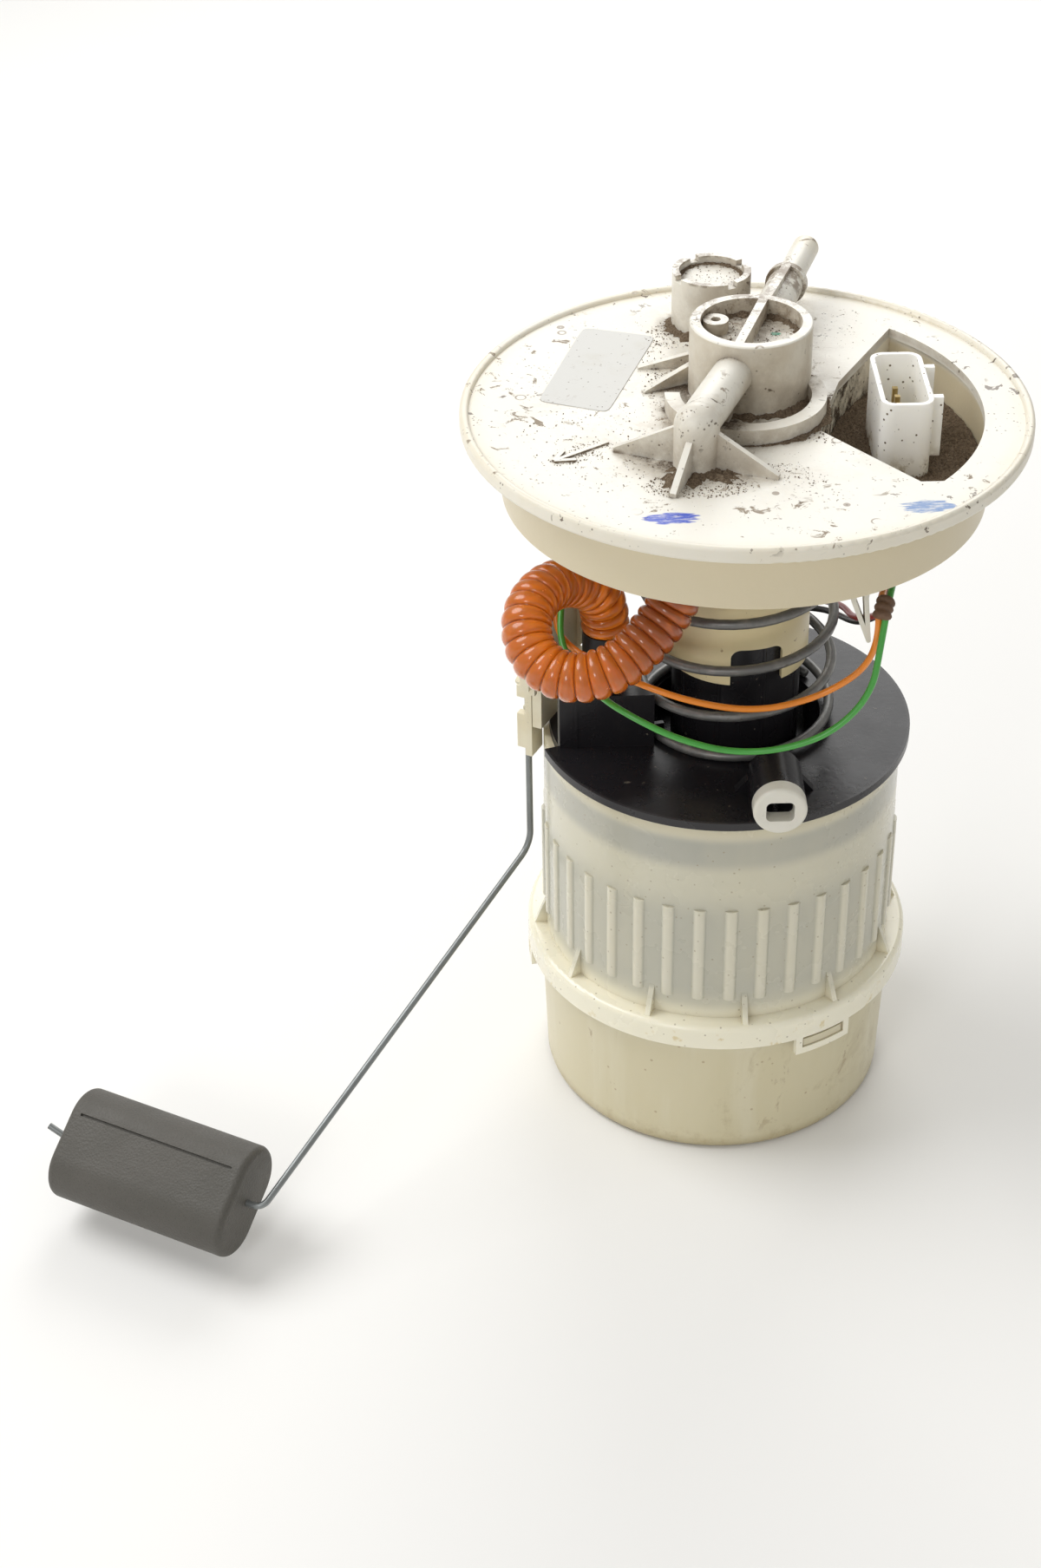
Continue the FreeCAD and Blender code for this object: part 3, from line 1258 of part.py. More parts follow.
def float_piece():
    flat = (float_long - float_wide) / 2
    half = float_wide / 2
    ends = [rod(Vector(float_a, float_b + y, float_z), Vector(float_a + float_length, float_b + y, float_z), half)
            for y in (-flat, flat)]
    middle = block(float_a, float_a + float_length, float_b - flat, float_b + flat, float_z - half, float_z + half)
    body = fused(ends + [middle])
    caps = [e for e in body.Edges if e.BoundBox.XLength < 0.01]
    body = body.makeFillet(2.2, caps)
    seam = block(float_a + 4, float_a + float_length - 4, float_b - flat - 0.4, float_b - flat + 0.4,
                 float_z + half - float_seam, float_z + half + 1)
    body = body.cut(seam)
    body.rotate(Vector(0, float_b, float_z), Vector(1, 0, 0), float_tilt)
    bore = rod(Vector(float_a - 1, float_b, float_z), Vector(float_a + float_length + 1, float_b, float_z),
               wire_radius + running_gap)
    return place_sender(body.cut(bore))


pieces = [
    ("reservoir_cup", reservoir_cup), ("inlet_valve", inlet_valve), ("filter_housing", filter_housing),
    ("filter_well", filter_well), ("filter_element", filter_element), ("reservoir_lid", reservoir_lid),
    ("lid_well", lid_well), ("guide_tower", guide_tower), ("hose_block", hose_block),
    ("relief_elbow", relief_elbow), ("lid_seal", lid_seal), ("elbow_plug", elbow_plug),
    ("pump_plug", pump_plug), ("suction_strainer", suction_strainer),
    ("jet_pump", jet_pump), ("pump_can", pump_can), ("pump_inlet_cover", pump_inlet_cover),
    ("pump_bearing_plate", pump_bearing_plate), ("pump_impeller", pump_impeller),
    ("pump_armature", pump_armature), ("pump_commutator", pump_commutator), ("pump_magnets", pump_magnets),
    ("pump_brushes", pump_brushes), ("pump_outlet_cover", pump_outlet_cover), ("pump_isolator", pump_isolator),
    ("check_valve_poppet", check_valve_poppet), ("check_valve_spring", check_valve_spring),
    ("guide_spring", guide_spring), ("flange_plate", flange_plate_piece),
    ("flange_skirt", flange_skirt), ("flange_pocket", flange_pocket), ("spring_cup", spring_cup),
    ("port_cup", port_cup), ("riser_pipe", riser_pipe), ("outlet_pipe", outlet_pipe),
    ("rear_cup", rear_cup), ("cup_ridge", cup_ridge),
    ("connector_housing", connector_housing), ("connector_pins", connector_pins),
    ("harness_plug", harness_plug), ("harness_clip", harness_clip), ("guide_sleeve", guide_sleeve),
    ("regulator_cartridge", regulator_cartridge), ("regulator_clip", regulator_clip),
    ("rollover_valve_body", rollover_valve_body), ("rollover_float", rollover_float),
    ("sender_housing", sender_housing), ("sender_card", sender_card), ("sender_terminals", sender_terminals),
    ("wire_holder", wire_holder), ("wiper_contact", wiper_contact), ("float_wire", float_wire),
    ("float", float_piece)]
for name, build in pieces:
    save(name, build())
save("outlet_hose", cord("outlet_hose", outlet_hose_route, hose_diameter))
for name, route in (("green_wire", green_wire_route), ("orange_wire", orange_wire_route),
                    ("red_wire", red_wire_route), ("black_wire", black_wire_route)):
    save(name, cord(name, route, lead_diameter))
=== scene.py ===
# In-tank fuel pump module: dressed frame, ribbed hose, leads, spring, dust and label.
import math
import bpy
import numpy as np
from mathutils import Matrix, Vector


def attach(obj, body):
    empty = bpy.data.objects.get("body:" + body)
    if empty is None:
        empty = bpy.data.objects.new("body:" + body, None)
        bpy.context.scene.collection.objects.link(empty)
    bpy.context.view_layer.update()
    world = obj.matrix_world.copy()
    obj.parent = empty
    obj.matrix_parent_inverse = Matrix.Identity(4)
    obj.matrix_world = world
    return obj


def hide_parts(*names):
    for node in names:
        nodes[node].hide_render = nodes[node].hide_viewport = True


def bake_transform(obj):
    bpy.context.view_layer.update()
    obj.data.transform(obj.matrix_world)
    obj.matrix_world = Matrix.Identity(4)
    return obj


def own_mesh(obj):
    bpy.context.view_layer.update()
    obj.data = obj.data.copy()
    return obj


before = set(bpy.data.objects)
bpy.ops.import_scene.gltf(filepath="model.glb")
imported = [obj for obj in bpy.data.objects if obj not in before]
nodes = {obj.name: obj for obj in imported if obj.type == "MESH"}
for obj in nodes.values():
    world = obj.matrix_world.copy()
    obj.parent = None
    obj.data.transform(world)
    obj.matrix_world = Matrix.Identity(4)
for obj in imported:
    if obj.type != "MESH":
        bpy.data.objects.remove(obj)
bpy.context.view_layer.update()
guideAxis = np.array([0.004, 0.0025])  # centre of tower, sleeve, spring and flange
print("stage: frame loaded")


# Camera and light

view = {
    "place": (-0.060696, -0.657870, 0.575155),
    "down": 35.646,      # degrees below level
    "roll": 1.18,
    "lens": 60.92,       # mm
    "sensor": 36.0,      # mm, the long side
    "nearest": 0.01,
}
light = {
    "world": 0.54,
    "worldColour": (1.0, 0.99, 0.965),
    "target": (0, 0, 0.12),
    "key": dict(place=(-0.80, 0.15, 1.15), size=0.9, power=9.4),
    "fill": dict(place=(-0.55, -1.10, 0.75), size=0.35, power=2.5),
    "back": dict(place=(0.15, 1.1, 0.9), size=0.9, power=6.0),
}


def aimAt(place, target):
    way = Vector(target) - Vector(place)
    return Matrix.Translation(place) @ way.to_track_quat("-Z", "Y").to_matrix().to_4x4()


def makeCamera(values):
    down, roll = math.radians(values["down"]), math.radians(values["roll"])
    ahead = Vector((0, math.cos(down), -math.sin(down)))
    right, up = Vector((1, 0, 0)), Vector((0, math.sin(down), math.cos(down)))
    across = right * math.cos(roll) - up * math.sin(roll)
    upward = right * math.sin(roll) + up * math.cos(roll)
    data = bpy.data.cameras.new("camera")
    data.lens, data.sensor_width, data.clip_start = values["lens"], values["sensor"], values["nearest"]
    camera = bpy.data.objects.new("camera", data)
    turned = Matrix((across, upward, -ahead)).transposed().to_4x4()
    camera.matrix_world = Matrix.Translation(values["place"]) @ turned
    bpy.context.scene.collection.objects.link(camera)
    bpy.context.scene.camera = camera


def makeLights(values):
    world = bpy.data.worlds.new("studio")
    world.use_nodes = True
    tree = world.node_tree
    background = tree.nodes["Background"]
    background.inputs["Color"].default_value = (*values["worldColour"], 1)
    background.inputs["Strength"].default_value = values["world"]
    seen = tree.nodes.new("ShaderNodeBackground")  # what the camera sees behind the floor is plain white
    seen.inputs["Color"].default_value = (1, 1, 1, 1)
    rays = tree.nodes.new("ShaderNodeLightPath")
    either = tree.nodes.new("ShaderNodeMixShader")
    tree.links.new(rays.outputs["Is Camera Ray"], either.inputs[0])
    tree.links.new(background.outputs[0], either.inputs[1])
    tree.links.new(seen.outputs[0], either.inputs[2])
    tree.links.new(either.outputs[0], tree.nodes["World Output"].inputs["Surface"])
    bpy.context.scene.world = world
    for name in ("key", "fill", "back"):
        data = bpy.data.lights.new(name, "AREA")
        data.shape, data.size, data.energy = "DISK", values[name]["size"], values[name]["power"]
        lamp = bpy.data.objects.new(name, data)
        lamp.matrix_world = aimAt(values[name]["place"], values["target"])
        bpy.context.scene.collection.objects.link(lamp)


makeCamera(view)
makeLights(light)
bpy.context.scene.view_settings.view_transform = "Standard"


# Node helpers for the materials

mixSockets = {"factor": 0, "under": 6, "over": 7, "result": 2}  # a Mix node's sockets for colours
cornerSamples = 8


class Finish:  # a material in the making: most calls add one node and return its output

    def __init__(self, name, colour, roughness, sockets=()):
        self.material = bpy.data.materials.new(name)
        self.material.use_nodes = True
        self.tree = self.material.node_tree
        self.shader = self.tree.nodes["Principled BSDF"]
        self.shader.inputs["Base Color"].default_value = (*colour, 1)
        self.shader.inputs["Roughness"].default_value = roughness
        for socket, value in dict(sockets).items():
            self.shader.inputs[socket].default_value = value
        self.colour = colour
        self.base = None
        self.heights = []
        self.place = self.add("ShaderNodeTexCoord").outputs["Object"]

    def add(self, kind, settings=(), values=(), links=()):
        node = self.tree.nodes.new(kind)
        for name, value in dict(settings).items():
            setattr(node, name, value)
        for name, value in dict(values).items():
            node.inputs[name].default_value = value
        for name, output in dict(links).items():
            self.tree.links.new(output, node.inputs[name])
        return node

    def noise(self, scale, detail=4.0, rough=0.6, stretch=None, warp=0.0):
        source = self.place
        if stretch:
            stretched = self.add("ShaderNodeMapping", values={"Scale": stretch}, links={"Vector": source})
            source = stretched.outputs[0]
        values = {"Scale": scale, "Detail": detail, "Roughness": rough, "Distortion": warp}
        return self.add("ShaderNodeTexNoise", values=values, links={"Vector": source}).outputs["Fac"]

    def cells(self, scale):
        node = self.add("ShaderNodeTexVoronoi", values={"Scale": scale}, links={"Vector": self.place})
        return node.outputs["Distance"]

    def step(self, value, low, high, start=0.0, end=1.0):  # a soft step between low and high
        node = self.add("ShaderNodeMapRange", {"interpolation_type": "SMOOTHSTEP"},
                        {"From Min": low, "From Max": high, "To Min": start, "To Max": end}, {"Value": value})
        return node.outputs["Result"]

    def maths(self, operation, a, b=None):
        node = self.add("ShaderNodeMath", {"operation": operation})
        for i, value in enumerate(v for v in (a, b) if v is not None):
            if isinstance(value, (int, float)):
                node.inputs[i].default_value = value
            else:
                self.tree.links.new(value, node.inputs[i])
        return node.outputs[0]

    def axes(self):
        parts = self.add("ShaderNodeSeparateXYZ", links={"Vector": self.place}).outputs
        return parts["X"], parts["Y"], parts["Z"]

    def near(self, centre, flat=True):  # distance from the centre, or from its upright line if flat
        moved = self.add("ShaderNodeVectorMath", {"operation": "SUBTRACT"}, links={0: self.place})
        moved.inputs[1].default_value = centre
        output = moved.outputs[0]
        if flat:
            squeezed = self.add("ShaderNodeVectorMath", {"operation": "MULTIPLY"}, links={0: output})
            squeezed.inputs[1].default_value = (1, 1, 0)
            output = squeezed.outputs[0]
        return self.add("ShaderNodeVectorMath", {"operation": "LENGTH"}, links={0: output}).outputs["Value"]

    def corners(self, reach):  # 1 in the open, lower in corners
        node = self.add("ShaderNodeAmbientOcclusion", {"samples": cornerSamples}, {"Distance": reach})
        return node.outputs["AO"]

    def upward(self):  # 1 where the surface faces up, -1 where it faces down
        normal = self.add("ShaderNodeNewGeometry").outputs["Normal"]
        return self.add("ShaderNodeSeparateXYZ", links={"Vector": normal}).outputs["Z"]

    def tint(self, factor, colour, share=None):  # lays a colour over what is there, as much as factor says
        if share is not None:
            factor = self.maths("MULTIPLY", factor, share)
        mix = self.add("ShaderNodeMix", {"data_type": "RGBA"})
        mix.inputs[mixSockets["over"]].default_value = (*colour, 1)
        if self.base is None:
            mix.inputs[mixSockets["under"]].default_value = (*self.colour, 1)
        else:
            self.tree.links.new(self.base, mix.inputs[mixSockets["under"]])
        self.tree.links.new(factor, mix.inputs[mixSockets["factor"]])
        self.base = mix.outputs[mixSockets["result"]]

    def both(self, *factors):  # the product of all factors
        total = factors[0]
        for factor in factors[1:]:
            total = self.maths("MULTIPLY", total, factor)
        return total

    def vary(self, socket, factor, start, end):
        result = self.add("ShaderNodeMapRange", values={"To Min": start, "To Max": end},
                          links={"Value": factor}).outputs["Result"]
        self.tree.links.new(result, self.shader.inputs[socket])

    def relief(self, height, depth):
        self.heights.append((height, depth))
        return self

    def done(self):
        if self.base is not None:
            self.tree.links.new(self.base, self.shader.inputs["Base Color"])
        normal = None
        for height, depth in self.heights:
            bump = self.add("ShaderNodeBump", values={"Strength": 1.0, "Distance": depth},
                            links={"Height": height})
            if normal is not None:
                self.tree.links.new(normal, bump.inputs["Normal"])
            normal = bump.outputs["Normal"]
        if normal is not None:
            self.tree.links.new(normal, self.shader.inputs["Normal"])
        return self.material


# Finishes

dirt = {"brown": (0.115, 0.080, 0.050), "grey": (0.24, 0.180, 0.122), "pale": (0.38, 0.31, 0.225)}
milky = {"Subsurface Weight": 0.12, "Subsurface Radius": (1.0, 0.85, 0.6), "Subsurface Scale": 0.002}
marks = [  # check marks: centre, half width, half height in metres, lowest height, colour, strength
    (-0.0197, -0.0581, 0.0072, 0.0032, 0.2275, (0.010, 0.060, 0.50), 1.0),
    (0.0472, -0.0550, 0.0072, 0.0036, 0.2275, (0.045, 0.17, 0.44), 0.9),
    (0.0129, 0.0151, 0.0016, 0.0010, 0.2440, (0.02, 0.28, 0.17), 0.9),
]


def dustMask(f, reach):  # corners that face up, broken up by noise
    shade = f.step(f.corners(reach), 0.40, 0.96, 1.0, 0.0)
    up = f.step(f.upward(), -0.35, 0.5)
    patch = f.step(f.noise(95.0, 6.0, 0.65), 0.36, 0.62)
    return f.both(shade, patch, up)


def layDust(f, mask):
    grain = f.noise(1500.0, 5.0, 0.75)
    f.tint(f.both(mask, f.step(grain, 0.30, 0.55, 0.45, 1.0)), dirt["grey"])
    f.tint(f.step(f.both(mask, grain), 0.27, 0.42), dirt["brown"])
    f.tint(f.both(f.step(mask, 0.3, 0.8), f.step(f.noise(2300.0, 3.0), 0.60, 0.66, 0.0, 0.7)), dirt["pale"])
    f.relief(f.both(mask, f.noise(1100.0, 5.0, 0.8)), 0.0011)


def layMark(f, centreX, centreY, wide, tall, low, colour, strength):
    moved = f.add("ShaderNodeMapping", values={"Location": (-centreX / wide, -centreY / tall, 0),
                  "Scale": (1 / wide, 1 / tall, 0)}, links={"Vector": f.place}).outputs[0]
    reach = f.add("ShaderNodeVectorMath", {"operation": "LENGTH"}, links={0: moved}).outputs["Value"]
    strokes = f.maths("SUBTRACT", f.noise(330.0, 5.0, stretch=(0.5, 2.4, 1)), 0.5)
    inside = f.step(f.maths("ADD", reach, f.maths("MULTIPLY", strokes, 1.5)), 1.05, 0.82)
    worn = f.step(f.noise(700.0, 4.0, 0.7, stretch=(0.4, 2.0, 1)), 0.34, 0.55, 0.45, 1.0)
    f.tint(f.both(inside, worn, f.step(f.axes()[2], low, low + 0.0008, 0.0, strength)), colour)


flangeHeights = {  # metres, from and to
    "skirt": (0.2262, 0.2235), "top": (0.2262, 0.2275), "raised": (0.2292, 0.2305),
    "rims": (0.2450, 0.2458), "dusty": (0.2255, 0.2275),
}
flangeReaches = {  # metres from a centre, from and to
    "lip": (0.071, 0.078), "haze": (0.073, 0.066), "dusty": (0.074, 0.070), "cup": (0.024, 0.019),
    "film": (0.070, 0.018), "arrow": (0.0130, 0.0100), "bead": (0.0105, 0.0065),
}
flangeCentres = {  # metres
    "cup": (0.002, 0.0113, 0), "film": (-0.002, 0.006, 0), "arrow": (-0.0425, -0.0215, 0),
    "bead": (0.0190, 0.0535, 0.243),
}


def makeFlangeIvory():
    f = Finish("flangeIvory", (0.80, 0.775, 0.70), 0.38, milky | {"Specular IOR Level": 0.5})
    y, z = f.axes()[1:]
    high, far, middle = flangeHeights, flangeReaches, flangeCentres
    fromAxis = f.near((*guideAxis, 0))
    f.tint(f.step(f.noise(18.0, 3.0), 0.35, 0.75, 0.0, 0.5), (0.77, 0.735, 0.64))
    # painted shade: the skirt under the plate is darker
    f.tint(f.step(z, *high["skirt"], 0.0, 0.9), (0.64, 0.555, 0.375))
    lip = f.both(f.step(fromAxis, *far["lip"]), f.step(f.noise(30.0), 0.3, 0.7, 0.2, 0.6))
    f.tint(lip, (0.74, 0.67, 0.51))
    top = f.step(z, *high["top"])
    flat = f.step(f.upward(), 0.2, 0.8)
    # shaded walls of what stands on the plate, most of all the front cup
    sides = f.both(f.step(f.upward(), 0.60, 0.10), f.step(z, *high["raised"]))
    byCup = f.step(f.near(middle["cup"]), *far["cup"], 0.25, 1.0)
    cloudy = f.step(f.noise(70.0, 5.0, 0.65), 0.25, 0.75, 0.35, 0.80)
    f.tint(f.both(sides, byCup, cloudy), (0.57, 0.495, 0.37))
    # a film over the middle and a haze near what stands up
    centre = f.step(f.near(middle["film"]), *far["film"])
    film = f.both(f.step(f.noise(42.0, 8.0, 0.7, warp=0.4), 0.48, 0.68), centre, top)
    f.tint(film, dirt["pale"], 0.45)
    haze = f.both(f.step(f.corners(0.022), 0.55, 0.97, 1.0, 0.0),
                  f.step(f.noise(65.0, 7.0, 0.7), 0.36, 0.62), top,
                  f.step(fromAxis, *far["haze"]))
    f.tint(haze, dirt["pale"], 0.55)
    # blots, dried rings, spots, the arrow's edges and specks
    blots = f.both(f.step(f.noise(150.0, 5.0, 0.72, warp=0.9), 0.605, 0.65),
                   f.step(f.noise(26.0, 3.0), 0.36, 0.50), top, flat)
    f.tint(blots, dirt["grey"], 0.85)
    rings = f.both(f.step(f.maths("ABSOLUTE", f.maths("SUBTRACT", f.cells(115.0), 0.17)), 0.035, 0.018),
                   f.step(f.noise(48.0, 2.0), 0.57, 0.62), top, flat)
    f.tint(rings, dirt["grey"], 0.8)
    spots = f.both(f.step(f.noise(230.0, 3.0, 0.6, warp=0.5), 0.64, 0.675),
                   f.step(f.noise(37.0, 3.0), 0.50, 0.60), top)
    f.tint(spots, dirt["brown"], 0.9)
    arrow = f.both(f.step(f.near(middle["arrow"]), *far["arrow"]),
                   f.step(f.corners(0.0016), 0.62, 0.92, 1.0, 0.0),
                   f.step(f.noise(330.0, 5.0, 0.7), 0.36, 0.52), top)
    f.tint(arrow, dirt["grey"], 0.9)
    speck = f.both(f.step(f.cells(560.0), 0.21, 0.12), f.step(f.noise(85.0, 4.0), 0.52, 0.62), top)
    f.tint(speck, dirt["brown"], 0.8)
    # grime on the back of the cups' rims and on the stub's bead
    rims = f.both(f.step(z, *high["rims"]), f.step(y, 0.006, 0.020),
                  f.step(f.noise(210.0, 6.0, 0.75), 0.46, 0.60))
    f.tint(rims, dirt["grey"], 0.75)
    bead = f.both(f.step(f.near(middle["bead"], flat=False), *far["bead"]),
                  f.step(f.noise(260.0, 6.0, 0.75), 0.42, 0.56))
    f.tint(bead, dirt["grey"], 0.85)
    mask = f.both(dustMask(f, 0.010), f.step(z, *high["dusty"]), f.step(fromAxis, *far["dusty"]))
    layDust(f, mask)
    for mark in marks:
        layMark(f, *mark)
    f.vary("Roughness", f.maths("MAXIMUM", mask, blots), 0.36, 0.95)
    f.relief(f.noise(900.0, 3.0), 0.00006)
    return f.done()


def makePocketIvory():  # the pocket's walls: grime on the left wall, thinning towards the right one
    f = Finish("pocketIvory", (0.93, 0.87, 0.72), 0.45, milky)
    x, z = f.axes()[0::2]
    f.tint(f.step(f.noise(60.0, 5.0), 0.4, 0.7, 0.0, 0.6), (0.86, 0.78, 0.60))
    left = f.step(x, 0.046, 0.034)
    low = f.step(z, 0.2235, 0.2145, 0.0, 0.8)
    grime = f.step(f.noise(190.0, 7.0, 0.75), 0.36, 0.60)
    mask = f.both(f.maths("MAXIMUM", left, low), grime, f.step(z, 0.2285, 0.2275))
    layDust(f, mask)
    f.tint(f.both(f.step(f.cells(420.0), 0.20, 0.14), f.step(f.noise(90.0), 0.45, 0.6)), dirt["brown"])
    f.vary("Roughness", mask, 0.42, 0.95)
    return f.done()


def makeSleeveCream():
    f = Finish("sleeveCream", (0.76, 0.65, 0.385), 0.34, milky)
    f.tint(f.step(f.noise(35.0, 5.0, stretch=(1, 1, 0.3)), 0.45, 0.75, 0.0, 0.55), (0.65, 0.53, 0.29))
    f.tint(f.step(f.noise(300.0, 4.0), 0.66, 0.70), (0.30, 0.20, 0.10), 0.7)
    f.relief(f.noise(500.0, 3.0), 0.00006)
    return f.done()


housingHeights = {  # metres, from and to
    "beltLow": (0.056, 0.066), "beltHigh": (0.103, 0.090), "collar": (0.060, 0.0535),
    "shadeLow": (0.1075, 0.1125), "shadeHigh": (0.1215, 0.1180), "rim": (0.1190, 0.1225),
    "clouds": (0.058, 0.075), "low": (0.040, 0.055), "wet": (0.0545, 0.050),
}
housingRadii = {"wall": (0.0543, 0.0536), "ribs": (0.0537, 0.0543)}


def makeHousingMilk():  # thin milky wall: ribs paler than the grey between them, collar creamy and wet
    f = Finish("housingMilk", (0.600, 0.575, 0.455), 0.30,
               {"Subsurface Weight": 0.25, "Subsurface Radius": (1.0, 0.9, 0.7), "Subsurface Scale": 0.003,
                "Coat Weight": 0.3, "Coat Roughness": 0.18})
    z = f.axes()[2]
    high = housingHeights
    radius = f.near((0, 0, 0))
    belt = f.both(f.step(z, *high["beltLow"]), f.step(z, *high["beltHigh"]))
    f.tint(f.both(belt, f.step(radius, *housingRadii["wall"])), (0.475, 0.465, 0.385))
    f.tint(f.both(belt, f.step(radius, *housingRadii["ribs"]), 0.8), (0.665, 0.635, 0.520))
    f.tint(f.step(z, *high["collar"], 0.0, 0.96), (0.89, 0.845, 0.680))
    lidShade = f.both(f.step(z, *high["shadeLow"]), f.step(z, *high["shadeHigh"]))
    f.tint(lidShade, (0.36, 0.36, 0.32), 0.75)
    f.tint(f.step(z, *high["rim"], 0.0, 0.7), (0.66, 0.60, 0.43))
    clouds = f.step(f.noise(20.0, 4.0, stretch=(1, 1, 0.4)), 0.4, 0.75)
    f.tint(f.both(clouds, f.step(z, *high["clouds"], 0.0, 0.4)), (0.64, 0.59, 0.42))
    f.tint(f.both(f.step(f.corners(0.005), 0.70, 0.3), f.step(z, *high["low"], 0.7, 0.3)), (0.44, 0.36, 0.21))
    f.tint(f.step(f.cells(330.0), 0.13, 0.08), (0.30, 0.24, 0.15), 0.55)
    f.tint(f.both(f.step(z, *high["wet"]), f.step(f.noise(160.0, 5.0), 0.60, 0.68)), (0.74, 0.64, 0.40))
    f.vary("Roughness", f.noise(45.0, 4.0), 0.16, 0.38)
    f.relief(f.noise(260.0, 2.0), 0.00006).relief(f.noise(45.0, 2.0), 0.00018)
    return f.done()


def makeCupBeige():
    f = Finish("cupBeige", (0.650, 0.590, 0.405), 0.36,
               {"Subsurface Weight": 0.15, "Subsurface Radius": (1.0, 0.85, 0.6), "Subsurface Scale": 0.003,
                "Coat Weight": 0.15, "Coat Roughness": 0.25})
    z = f.axes()[2]
    clouds = f.step(f.noise(16.0, 5.0, 0.65, stretch=(1, 1, 0.35)), 0.40, 0.72, 0.0, 0.6)
    f.tint(clouds, (0.585, 0.525, 0.335))
    f.tint(f.step(f.noise(70.0, 4.0, stretch=(1, 1, 0.12)), 0.50, 0.72, 0.0, 0.4), (0.73, 0.685, 0.53))
    # painted shadow: the foot is darker towards the floor
    f.tint(f.step(z, 0.006, 0.0003, 0.0, 0.8), (0.38, 0.31, 0.16))
    rim = f.both(f.step(z, 0.010, 0.001), f.step(f.noise(120.0, 6.0, 0.7), 0.48, 0.66))
    f.tint(rim, (0.38, 0.29, 0.14), 0.55)
    stain = f.both(f.step(f.noise(34.0, 7.0, 0.72, stretch=(1, 1, 0.6), warp=0.9), 0.56, 0.70),
                   f.step(f.noise(13.0, 2.0), 0.44, 0.60))
    f.tint(stain, (0.44, 0.37, 0.21), 0.5)
    scuff = f.both(f.step(f.noise(110.0, 5.0, 0.7, stretch=(1, 1, 0.5), warp=0.6), 0.64, 0.70),
                   f.step(f.noise(24.0, 2.0), 0.50, 0.60))
    f.tint(scuff, (0.36, 0.27, 0.15), 0.6)
    f.tint(f.step(f.cells(170.0), 0.10, 0.05), (0.36, 0.25, 0.13), 0.6)
    f.tint(f.step(z, 0.038, 0.052, 0.0, 0.55), (0.69, 0.65, 0.53))
    f.relief(f.noise(240.0, 3.0), 0.00006).relief(f.noise(40.0, 2.0), 0.00020)
    return f.done()


def makeLidBlack():
    f = Finish("lidBlack", (0.014, 0.013, 0.015), 0.30, {"Specular IOR Level": 0.27})
    f.tint(f.step(f.noise(60.0, 6.0, 0.7, stretch=(1, 1, 0.3)), 0.55, 0.80, 0.0, 0.25), (0.060, 0.056, 0.052))
    f.tint(f.step(f.noise(420.0, 4.0), 0.69, 0.73), (0.22, 0.19, 0.15), 0.55)
    # painted highlight: the lid's outer edge is lighter
    f.tint(f.step(f.near((0, 0, 0)), 0.0548, 0.0557, 0.0, 0.5), (0.060, 0.058, 0.060))
    f.vary("Roughness", f.noise(80.0, 5.0), 0.16, 0.40)
    f.relief(f.noise(500.0, 3.0), 0.00005)
    return f.done()


def makePlain(name, colour, roughness, sockets=(), mottle=None, grain=600.0, depth=0.00005):
    # slow colour drift, a little speckle and fine grain
    f = Finish(name, colour, roughness, sockets)
    drift = mottle or tuple(c * 0.72 for c in colour)
    f.tint(f.step(f.noise(55.0, 5.0), 0.38, 0.72, 0.0, 0.6), drift)
    f.tint(f.step(f.noise(grain * 0.7, 4.0), 0.66, 0.72), tuple(c * 0.4 for c in colour), 0.35)
    f.vary("Roughness", f.noise(120.0, 4.0), roughness * 0.8, min(roughness * 1.25, 1.0))
    f.relief(f.noise(grain, 3.0), depth)
    return f.done()


def makeSocketWhite():
    f = Finish("socketWhite", (0.97, 0.95, 0.88), 0.34,
               {"Subsurface Weight": 0.5, "Subsurface Radius": (1.0, 0.95, 0.8), "Subsurface Scale": 0.006})
    z = f.axes()[2]
    f.tint(f.step(f.noise(40.0, 4.0), 0.4, 0.7, 0.0, 0.3), (0.93, 0.89, 0.78))
    grime = f.both(f.step(z, 0.2230, 0.2145), f.step(f.noise(230.0, 6.0, 0.7), 0.46, 0.62),
                   f.step(z, 0.2120, 0.2135))
    f.tint(grime, dirt["grey"], 0.8)
    f.tint(f.both(f.step(f.cells(430.0), 0.17, 0.11), f.step(z, 0.2130, 0.2150)), dirt["brown"])
    f.relief(f.noise(600.0, 3.0), 0.00005)
    return f.done()


def makeFloatFoam():
    f = Finish("floatFoam", (0.078, 0.073, 0.062), 0.52, {"Specular IOR Level": 0.5})
    f.tint(f.step(f.noise(40.0, 4.0, stretch=(0.4, 1, 1)), 0.4, 0.75, 0.0, 0.7), (0.100, 0.092, 0.080))
    f.tint(f.step(f.cells(1500.0), 0.25, 0.1), (0.02, 0.018, 0.016), 0.5)
    f.vary("Roughness", f.noise(90.0, 4.0), 0.42, 0.68)
    f.relief(f.cells(1400.0), 0.00010).relief(f.noise(300.0, 4.0), 0.00012)
    return f.done()


def makeSpringGrey():
    f = Finish("springGrey", (0.175, 0.175, 0.170), 0.38, {"Metallic": 0.5})
    f.tint(f.step(f.noise(220.0, 5.0), 0.45, 0.75, 0.0, 0.6), (0.29, 0.28, 0.26))
    f.tint(f.step(f.noise(600.0, 5.0), 0.62, 0.70), (0.10, 0.085, 0.065), 0.6)
    f.vary("Roughness", f.noise(300.0, 4.0), 0.30, 0.50)
    f.relief(f.noise(900.0, 4.0), 0.00005)
    return f.done()


